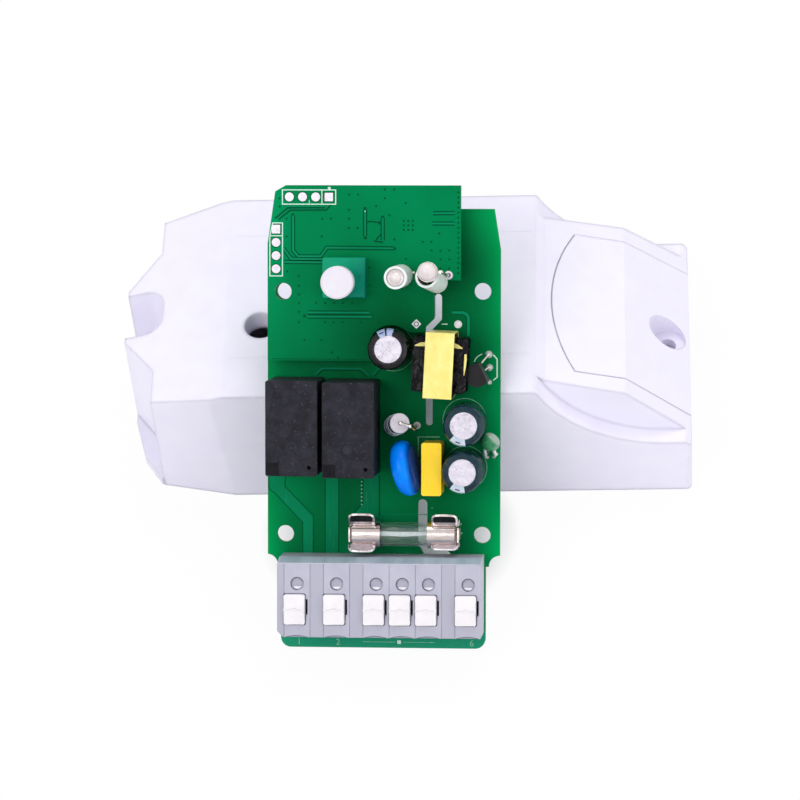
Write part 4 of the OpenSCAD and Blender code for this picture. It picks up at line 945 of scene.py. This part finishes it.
def control_vias():
    """The control board's small plated holes, near where the real ones are."""
    rows = [(-6.47, 89.99), (-4.74, 89.99), (-6.5, 87.01), (-6.51, 85.3), (-6.51, 83.49), (-4.81, 83.49),
            (-11.74, 85.24), (-10.02, 85.31), (-11.83, 81.83), (-18.71, 85.28), (-18.7, 81.81),
            (0.51, 91.0), (2.33, 91.0), (0.52, 89.3), (-1.18, 87.74), (1.37, 85.96), (2.36, 81.29),
            (-18.59, 74.98), (-16.31, 74.11), (4.58, 88.34), (11.14, 82.48), (7.93, 80.82), (9.59, 80.83),
            (9.63, 79.17), (11.39, 79.08), (13.1, 79.18), (11.39, 77.43), (13.11, 77.43), (4.62, 77.5),
            (11.36, 75.68), (13.08, 75.68), (-20.09, 89.22), (-20.08, 87.62), (-2.52, 75.82),
            (-2.41, 72.31), (-15.2, 61.6), (-11.9, 61.6), (-9.9, 59.2), (-8.6, 58.2)]
    rows += [(-16.3, 72.2 - 1.7 * i) for i in range(4)]
    rows += [(-12.9 + 1.75 * i, 68.87) for i in range(5)]
    rows += [(x, 65.1) for x in (-16.3, -11.2, -9.5, -7.8, -4.2, -0.8)]
    rows += [(14.85, 90.46 - 0.98 * i) for i in range(17)]
    rows += [(4.2 + 0.88 * i, 84.9 - 0.87 * j) for i in range(3) for j in range(3)]
    return rows


def main_print(copper, dark, light, ink, thin, pads):
    """Tracks, pads and outlines on the main board."""
    over = COPPER_UP + OVER
    # Wide mains tracks between the relays and the terminals
    for shape in (
        [(-22.7, 34.6), (-22.7, 32.05), (-21.54, 31.23), (-15.99, 25.46), (-15.98, 18.7), (-13.9, 18.7),
         (-13.91, 26.76), (-19.47, 32.53), (-19.47, 34.9)],
        [(-11.54, 18.7), (-8.89, 18.7), (-8.89, 35.0), (-11.54, 35.0)],
    ):
        copper.face(shape, COPPER_UP)
        dark.line(shape, 0.2, over, True)
    copper.face([(-4.05, 34.8), (-4.05, 29.4), (-6.0, 27.2), (-6.6, 24.0), (-5.6, 21.8), (-0.9, 21.8),
                 (-0.9, 34.8)], COPPER_UP - OVER)
    dark.line([(-4.15, 34.6), (-4.15, 29.4), (-6.1, 27.1)], 0.3, COPPER_UP)
    dark.line([(-0.85, 34.8), (-0.85, 26.8)], 0.3, COPPER_UP)
    for i in range(7):
        thin.disc((-4.35, 33.6 - 0.75 * i), 0.16, INK, 10)
    # Track by the control board's lower edge, and one round the safety gap
    for path in ([(-13.5, 54.6), (-12.2, 55.85), (-4.5, 55.85), (-3.0, 54.5)],
                 [(-2.2, 54.6), (-0.9, 56.0), (0.2, 56.6)]):
        light.line(path, 0.34, over)
        dark.line(shifted(path, -0.36), 0.3, COPPER_UP)
    path = [(13.4, 66.95), (15.6, 66.95), (16.35, 66.55), (16.62, 65.9), (16.62, 62.4)]
    light.line(path, 0.5, over)
    dark.line(path, 0.9, COPPER_UP)
    # A bare pad and its short bar
    pads.disc((14.57, 64.64), 0.76, PAD_UP)
    thin.ring((14.57, 64.64), 0.5, 0.56, PAD_UP + OVER, 20)
    ink.line([(11.35, 64.66), (12.5, 64.66)], 0.2, INK)
    # Part outlines
    thin.line([(6.8, 37.2), (6.8, 42.5), (11.0, 42.5)], 0.2, INK)
    light.line([(-0.4, 27.2), (9.7, 27.2)], 0.14, COPPER_UP)
    ink.line([(17.75, 57.3), (18.16, 58.1), (18.7, 58.55), (19.3, 58.85)], 0.2, INK)
    ink.line([(21.5, 58.7), (22.25, 57.85), (22.25, 54.3), (21.5, 53.7)], 0.24, INK)
    for (x, y), (across, along) in zip(CANS, ((0.1, -0.5), (-0.5, 0.35), (-0.1, 0.1))):
        thin.ring((x + across, y + along), 4.2, 4.33, INK, 60)
    pads.ring((6.55, 44.75), 0.36, 0.74, PAD_UP, 18)
    # Scuffs of flux and print round the fuse's clips
    for x, y, r in ((-5.9, 24.6, 0.16), (-6.4, 25.7, 0.12), (15.2, 25.4, 0.22), (15.4, 23.6, 0.18),
                    (14.6, 26.3, 0.14), (9.55, 28.5, 0.1)):
        thin.disc((x, y), r, INK, 9)
    # The thin line with its square mark between the middle terminals
    y = 1.95
    thin.line([(-4.1, y), (2.3, y)], 0.1, INK)
    thin.line([(3.9, y), (10.2, y)], 0.1, INK)
    ink.box(2.72, y - 0.36, 3.44, y + 0.36, INK)


def board_print():
    copper, dark, light, ink, thin, pads = (Print() for _ in range(6))
    control_print(dark, light, ink, pads)
    main_print(copper, dark, light, ink, thin, pads)
    copper.done("board_tracks", "trace", "board_green")
    dark.done("board_track_gaps", "trace_dark", "board_green")
    light.done("board_track_ridges", "trace_fine", "board_green")
    ink.done("board_ink", "ink", "button_white")
    thin.done("board_thin_ink", "ink_thin", "button_white")
    pads.done("board_pads", "pad", "tinned_metal")


def numbers():
    """Plain numbers beside the terminals."""
    for i, x in ((1, -16.7), (2, -9.0), (6, 17.4)):
        text = bpy.data.curves.new(f"number_{i}", "FONT")
        text.body = str(i)
        text.size = 1.75 * MM
        text.align_x = "CENTER"
        text.extrude = 0.01 * MM
        shape = placed(f"number_{i}", text)
        bpy.context.view_layer.update()
        data = bpy.data.meshes.new_from_object(shape.evaluated_get(bpy.context.evaluated_depsgraph_get()))
        bpy.data.objects.remove(shape)
        data.name = f"way_number_{i}"
        add(data.name, data, "ink_thin", "button_white", matrix=on_board(x, 1.3, INK), smooth=False)


# Detail on the parts
def relay_marks():
    """A moulding ring inside each round gate mark, painted shade on the stepped corner and in the dark vent
    hole.
    """
    ring, hole, step = Print(), Print(), Print()
    for i, (x, y) in enumerate(RELAYS):
        gate, gate_floor = (x, y - 3.8), RELAY_TOP - 0.135
        ring.ring(gate, 0.9 - 0.2 * i, 1.12 - 0.2 * i, gate_floor, 40)
        ring.disc(gate, 0.3 + 0.3 * i, gate_floor)
        hole.disc((x + 3.45, y - 7.55), 0.38, RELAY_TOP - 0.48)
        step.box(x - 4.85, y - 9.05, x - 2.45, y - 6.65, RELAY_TOP - 0.24)
        step.ring((x - 3.7, y - 7.8), 0.5, 0.62, RELAY_TOP - 0.232)
    ring.done("relay_gate_marks", "relay_mark", "black_plastic")
    step.done("relay_corner_step_shade", "relay_step", "black_plastic")
    hole.done("relay_vent_shade", "groove", "black_plastic")


def can_marks():
    """Painted highlights along the scores across each can's top, pale patches and minus bars on the
    sleeves.
    """
    score, bars = Print(), Print()
    for at, bar in zip(CANS, (112, 251, 255)):
        for turn in (math.radians(45), math.radians(135)):
            for a, b in ((-2.45, -0.1), (0.1, 2.45)):
                score.line([around(at, a, turn), around(at, b, turn)], 0.23, CAN_TOP - 0.285)
        turn = math.radians(bar)
        ends = [around(around(at, 3.4, turn), half, turn + math.pi / 2) for half in (-0.45, 0.45)]
        bars.line(ends, 0.2, CAN_TOP + 0.03)
    score.done("can_score_highlights", "score", "aluminium")
    over = 0.02
    skin = [(CAN_R - 1.34, CAN_TOP + over), (CAN_R - 0.9, CAN_TOP + over), (CAN_R - 0.28, CAN_TOP - 0.23),
            (CAN_R + over, CAN_TOP - 0.8), (CAN_R + over, CAN_TOP - 1.6)]
    for i, (can, start, sweep) in enumerate(((0, 100, 24), (0, 74, 20), (1, 226, 50), (2, 232, 46)), 1):
        finish, slot = ("mark", "dark_sleeve") if can else ("mark_blue", "black_sleeve")
        lathe(f"sleeve_patch_{i}", skin, finish, slot, on_board(*CANS[can]), 16, start, sweep)
    bars.done("sleeve_minus_bars", "groove", "black_sleeve")


def core_point(x, y, z):
    """A point by the transformer's core, in its own turned axes."""
    c, s = math.cos(math.radians(CORE_TURN)), math.sin(math.radians(CORE_TURN))
    return (CORE_AT[0] + x * c - y * s, CORE_AT[1] + x * s + y * c, z)


def transformer_details():
    """Loose ends of the winding's tape, and its thin lead."""
    leaves = {
        "left": (0.12, ((-2.6, 4.0, 0.0), (-3.9, 3.85, 0.08), (-4.95, 3.6, 0.02)),
                 ((0, 0.42), (0, 0.36), (0, 0.1))),
        "right": (0.12, ((2.6, 4.0, 0.0), (3.5, 3.8, 0.08), (4.3, 3.5, 0.02)),
                  ((0, 0.5), (0, 0.38), (0, 0.1))),
        "side": (0.14, ((4.95, 2.4, 0.0), (5.0, 1.3, 0.1), (4.95, -0.1, 0.1), (4.85, -1.7, 0.0)),
                 ((0.2, 0), (0.24, 0), (0.2, 0), (0.06, 0))),
    }
    for word, (thick, points, widths) in leaves.items():
        strip(f"winding_tape_{word}", [core_point(x, y, CORE_TOP + z) for x, y, z in points], widths, thick,
              "tape", "tape_yellow")
    lead = ((2.9, -4.9, 8.0), (3.3, -5.4, 7.0), (3.1, -5.8, 4.0), (3.2, -5.7, 0.0))
    tube("winding_lead", [core_point(*p) for p in lead], 0.13, "copper", "winding_dark", 8)


def solder_domes():
    """Solder blobs round the leads that end on the top side."""
    for i, (x, y, r) in enumerate(((20.6, 58.75, 0.75), (20.75, 56.2, 0.7), (20.75, 53.3, 0.5)), 1):
        profile = [(r, 0.0), (r * 0.86, 0.22), (r * 0.55, 0.52), (0.26, 0.8), (0.0, 0.84)]
        lathe(f"solder_dome_{i}", profile, "solder", "tinned_metal", on_board(x, y, 0.01), 24)


def terminal_details():
    """Painted shade in slots, test holes, button gaps and thumb hollows, bright contact tongues and painted
    ridge lines.
    """
    dark, shade, bright, shade_lines, floor_, edge = (Print() for _ in range(6))
    top = TERMINAL_TOP
    for x in WAYS:
        # Test hole: dark rim and shaded floor, both painted shade, and the pale tongue at its near side
        test = (x, TEST_Y)
        floor_.disc(test, 1.28, top - 0.36, 32)
        shade_lines.ring(test, 1.13, 1.29, top - 0.1, 40, 15, 260)
        bright.segment(test, 1.02, 212, 328, top - 0.3)
        # Slot beside the button with a floor of painted shade, and a thin wall of painted shade where the
        # button meets its pocket
        kx, w, l = x + KEY_OFF, KEY_HALF_X, KEY_HALF_Y
        dark.box(kx + w + 0.12, KEY_Y - 1.03, kx + w + 0.48, KEY_Y + 1.93, 9.2)
        near, wide = 0.01, 0.14
        for side in (-1, 1):
            x0, x1 = sorted((kx + side * (w + near), kx + side * (w + wide)))
            shade_lines.box(x0, KEY_Y - l - wide, x1, KEY_Y + l + wide, top - 0.06)
            y0, y1 = sorted((KEY_Y + side * (l + near), KEY_Y + side * (l + wide)))
            shade_lines.box(kx - w, y0, kx + w, y1, top - 0.06)
        # Thumb hollow's floor and the line of its far edge, both painted shade
        hollow = (x - 0.15, -2.2)
        shade.segment(hollow, 6.78, 70.2, 109.8, top - 0.5)
        shade_lines.ring(hollow, 6.66, 6.8, top - 0.45, 24, 70.2, 39.6)
    # Painted highlight along the ridge where the block's top meets the far ramp
    edge.line([(-19.7, 18.62), (19.75, 18.62)], 0.14, top + 0.012)
    dark.done("terminal_slot_floors", "groove", "grey_plastic")
    shade.done("terminal_hollows", "grey_shade", "grey_plastic")
    floor_.done("test_hole_floors", "grey_floor", "grey_plastic")
    bright.done("test_tongues", "pad", "tinned_metal")
    shade_lines.done("terminal_painted_shade_lines", "grey_gap", "grey_plastic")
    edge.done("terminal_ridge_highlight", "grey_highlight", "grey_plastic")
    # A painted shade line along each button's ridge, with the moulded bump at its middle
    ridge = ((-1.75, 9.72), (-0.45, 9.72), (-0.2, 9.95), (0.2, 9.95), (0.45, 9.72), (1.75, 9.72))
    for i, x in enumerate(WAYS, 1):
        mark = Print()
        mark.line([(x + KEY_OFF + dx, y) for dx, y in ridge], 0.12, top + KEY_UP + 0.012)
        mark.done(f"button_ridge_{i}", "key_line", "button_white", f"clamp_button_{i}")


def flux_spot():
    """A drop of set flux beside the fuse's right clip."""
    spot = Print()
    spot.disc((9.55, 25.85), 0.5, PAD_UP)
    spot.done("flux_spot", "flux", "tinned_metal")


def lamp_lens():
    """The left lamp's wide cloudy lens, a little below its tube's rim, and the right lamp's leg."""
    profile = [(1.72, 0.0), (1.7, 0.35), (1.45, 0.55), (1.0, 0.42), (0.5, 0.3), (0.0, 0.28)]
    lathe("lamp_lens_left", profile, "lamp", "lamp_clear", on_board(3.75, 74.25, 18.1), 48)
    leg = [(12.3, 75.35, 15.6), (12.55, 75.05, 14.2), (12.9, 74.5, 9.0), (12.95, 74.35, 4.3)]
    tube("lamp_leg_right", leg, 0.3, "tin")


def diode_rings():
    """The pale raised rings round the diode's black body."""
    tilt = on_board(*DIODE_AT, DIODE_TURN) @ Matrix.Rotation(math.radians(DIODE_LEAN), 4, "Y")
    for i, h in enumerate((2.1, 4.3, 6.5), 1):
        profile = [(1.9, h - 0.06), (2.02, h - 0.06), (2.07, h), (1.9, h)]
        lathe(f"diode_ring_{i}", profile, "mark", "black_plastic", tilt)


def choke_legs():
    """The two bent legs under the green drop."""
    for side, points in (
        ("left", [(20.1, 40.3, 3.2), (20.05, 39.6, 2.4), (20.15, 38.9, 1.2), (20.45, 38.6, 0.3)]),
        ("right", [(21.8, 40.2, 3.2), (21.95, 39.6, 2.4), (21.9, 38.95, 1.2), (21.6, 38.65, 0.3)]),
    ):
        tube(f"choke_leg_{side}", points, 0.36, "solder")


# Fuse in its clips: the spring strip's section, with rounded, rolled lips
CLIP_R, CLIP_T, CLIP_L, CLIP_OFF, FOOT_UP = 2.65, 0.3, 5.0, 8.1, 0.3
LIP_OPEN, LIP_STEPS, LIP_ROUND = 46, 8, 1.1
# Painted reflection, dark in the far lips and grey in the near ones: how far its face lies off the sheet
SHADE_OUT, SHADE_UP = 0.16, 0.13
# Each lip's length and its lean outwards in degrees
LIPS = {"left_far": (3.1, 50), "left_near": (1.9, 38), "right_far": (3.0, 50), "right_near": (1.2, 38)}


def clip_path(side, long, flare):
    """Points up one wall of a clip, round the cap and out along the lip, in the (y, z) plane."""
    mid = CLIP_R + CLIP_T / 2
    path = [(mid, -FUSE_AT[2] + 0.15), (mid, -2.0), (mid, 0.0)]
    parts = range(1, LIP_STEPS + 1)
    path += [around((0, 0), mid, math.radians(LIP_OPEN * i / LIP_STEPS)) for i in parts]
    y, z = path[-1]
    lean = math.radians(flare)
    out, up = long * math.sin(lean) / LIP_STEPS, long * math.cos(lean) / LIP_STEPS
    path += [(y + out * i, z + up * i) for i in parts]
    return [(side * a, b) for a, b in path]


def clip_wall(name, middle, side, dark, long, flare):
    """One wall of a clip: a sheet whose lip has rounded corners, a rolled rim and a face of painted
    reflection.
    """
    path = clip_path(side, long, flare)
    lip_from = len(path) - 1 - LIP_STEPS
    work, shade = bmesh.new(), bmesh.new()
    rows, rim = [], []
    round_r = min(LIP_ROUND, long * 0.8)
    for i, (y, z) in enumerate(path):
        half = CLIP_L / 2
        left = long * (len(path) - 1 - i) / LIP_STEPS
        if i > lip_from and left < round_r:
            half -= round_r - math.sqrt(max(0.0, round_r ** 2 - (round_r - left) ** 2))
        at = [Vector((middle + half * t, FUSE_AT[1] + y, FUSE_AT[2] + z)) for t in (-1, -0.5, 0, 0.5, 1)]
        rows.append([work.verts.new(p * MM) for p in at])
        if i >= lip_from:
            rim.append((at[0], at[-1]))
    loft(work, rows, closed=False)
    wall = add(name, mesh_of(work, name, outward=True), "tin", "tinned_metal", matrix=BOARD)
    thick = wall.modifiers.new("sheet", "SOLIDIFY")
    thick.thickness = CLIP_T * MM
    thick.offset = 0
    loop = [a for a, _ in rim] + [b for _, b in reversed(rim)]
    tube(name + "_rim", loop, 0.09 if dark else 0.14, "tin" if dark else "solder", sides=8)
    # A face over the lip's inside that carries the painted reflection
    lift = Vector((0, -side * SHADE_OUT, SHADE_UP))
    inner = [[shade.verts.new((q + lift) * MM) for q in (a.lerp(b, 0.06), a.lerp(b, 0.94))]
             for a, b in rim[3 if dark else 0:-1]]
    loft(shade, inner, closed=False)
    name += "_shade"
    add(name, mesh_of(shade, name), "lip_dark" if dark else "lip_grey_reflection", "tinned_metal", matrix=BOARD)
    return wall


def fuse_and_clips():
    """The clips' walls, feet and ear stops, standing for the CAD clips, and a bright strip in the fuse as a
    painted reflection streak.
    """
    pieces = []
    fuse_x, fuse_y = FUSE_AT[:2]
    for word, s in (("left", -1), ("right", 1)):
        middle, ear = fuse_x + s * CLIP_OFF, fuse_x + s * 10.6
        for wall, side in (("far", 1), ("near", -1)):
            pieces.append(clip_wall(f"clip_{word}_{wall}", middle, side, wall == "far",
                                    *LIPS[f"{word}_{wall}"]))
        foot = Print()
        foot.box(middle - 2.5, fuse_y - 2.95, middle + 2.5, fuse_y + 2.95, FOOT_UP)
        x0, x1 = sorted((middle + s * 2.4, ear + s * 0.1))
        foot.box(x0, fuse_y - 1.4, x1, fuse_y + 1.4, FOOT_UP)
        pieces.append(foot.done(f"clip_{word}_foot", "tin", "tinned_metal"))
        bow = ((-1.35, FOOT_UP), (-1.4, 5.6), (-1.0, 6.1), (1.0, 6.1), (1.4, 5.6), (1.35, FOOT_UP))
        pieces.append(tube(f"clip_{word}_ear", [(ear, fuse_y + y, z) for y, z in bow], 0.24, "tin"))
        pieces.append(strip(f"clip_{word}_tab", [(ear, fuse_y, z) for z in (FOOT_UP, 3.0, 5.9)],
                            [(0.12, 1.35)] * 3, 0.02, "tin", "tinned_metal"))
    for piece in pieces:
        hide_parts("fuse_clips")
    # A bright strip inside the glass as a painted reflection streak
    streak_points = ((-5.2, 0.25, 5.6), (0, 0.15, 5.7), (4.8, 0.3, 5.6))
    strip("fuse_painted_streak", [(fuse_x + x, fuse_y + y, z) for x, y, z in streak_points],
          [(0, 0.42), (0, 0.46), (0, 0.34)], 0.1, "pad", "tinned_metal")


for step in (case_skin, cover_seam, plain_nodes, dressed_parts, board_print, numbers, relay_marks,
             can_marks, transformer_details, solder_domes, terminal_details, flux_spot, lamp_lens,
             choke_legs, diode_rings, fuse_and_clips):
    step()


# Stage: camera as the photograph's, floor, soft light
def look(elevation, azimuth, roll, distance, target, lens):
    """A camera by its direction in degrees, and its distance and target in millimetres."""
    el, az, ro = (math.radians(v) for v in (elevation, azimuth, roll))
    back = Vector((math.sin(az) * math.cos(el), -math.cos(az) * math.cos(el), math.sin(el)))
    level = (-back).cross(Vector((0, 0, 1))).normalized()
    upright = level.cross(-back)
    right = math.cos(ro) * level + math.sin(ro) * upright
    up = -math.sin(ro) * level + math.cos(ro) * upright
    cam = placed("camera", bpy.data.cameras.new("camera"))
    place = Vector((target[0] * MM, target[1] * MM + CASE_Y, 0)) + back * distance * MM
    cam.matrix_world = Matrix.Translation(place) @ Matrix((right, up, back)).transposed().to_4x4()
    cam.data.sensor_width = 36
    cam.data.lens = lens
    cam.data.clip_start = 0.01
    bpy.context.scene.camera = cam


# The shade under the leaning board: an oval on the floor, metres, and where it begins and ends in its radii
SHADE_HALF, SHADE_OFF, SHADE_FROM, SHADE_TO = (0.026, 0.022), (0.004, 0.014), 0.6, 1.02


def shown_white(name, colour, share, low_share):
    """A diffuse surface that the camera, metal and glass see lifted towards plain white, less so in the
    closed shade under the leaning board."""
    stuff = bpy.data.materials.new(name)
    stuff.use_nodes = True
    g = Graph(stuff.node_tree)
    g.tree.nodes.remove(g.tree.nodes["Principled BSDF"])
    diffuse = g.new("ShaderNodeBsdfDiffuse", {"Color": colour})
    glow = g.new("ShaderNodeEmission", {"Strength": 1.0})
    place = g.new("ShaderNodeTexCoord").outputs["Object"]
    (half_x, half_y), (off_x, off_y) = SHADE_HALF, SHADE_OFF
    spot = g.vector("MULTIPLY_ADD", place, (1 / half_x, 1 / half_y, 0), (off_x / half_x, off_y / half_y, 0))
    lift = g.ramp(g.vector("LENGTH", spot["Vector"])["Value"], SHADE_FROM, SHADE_TO, low_share, share)
    g.blend(g.calc("MULTIPLY", g.seen_ray(), lift), diffuse, glow, "Material Output")
    return stuff


def floor():
    """A wide white floor under the case."""
    data = bpy.data.meshes.new("floor")
    reach = 4.0
    data.from_pydata([(-reach, -reach, 0), (reach, -reach, 0), (reach, reach, 0), (-reach, reach, 0)], [],
                     [(0, 1, 2, 3)])
    data.materials.append(shown_white("floor_white", (0.88, 0.88, 0.89, 1.0), share=0.95, low_share=0.02))
    obj = placed("floor", data)


AIM = (0, 0, 0.02)


def lamp(name, place, size, power):
    """A soft rectangular lamp that looks at the module: metres and watts."""
    light = bpy.data.lights.new(name, "AREA")
    light.shape = "RECTANGLE"
    light.size, light.size_y = size
    light.energy = power
    obj = placed(name, light)
    obj.location = place
    obj.rotation_mode = "QUATERNION"
    obj.rotation_quaternion = (Vector(AIM) - Vector(place)).to_track_quat("-Z", "Y")


def sky():
    """Pale light from all round, which shows as plain white itself."""
    world = bpy.data.worlds.new("studio")
    bpy.context.scene.world = world
    world.use_nodes = True
    g = Graph(world.node_tree)
    soft = g.feed(g.tree.nodes["Background"], {"Color": (0.97, 0.97, 1.0, 1.0), "Strength": 0.71})
    plain = g.new("ShaderNodeBackground", {"Strength": 1.0})
    g.blend(g.seen_ray(), soft, plain, "World Output")


look(elevation=52.54, azimuth=5.90, roll=-5.53, distance=790.3, target=(-2.85, -2.29), lens=171.68)
floor()
lamp("key", (-0.34, -0.42, 0.66), (0.5, 0.4), 2.0)
lamp("fill", (0.55, -0.45, 0.4), (0.5, 0.5), 0.95)
lamp("back", (0.12, 0.34, 0.8), (0.5, 0.4), 1.85)
sky()
bpy.context.scene.view_settings.view_transform = "Standard"
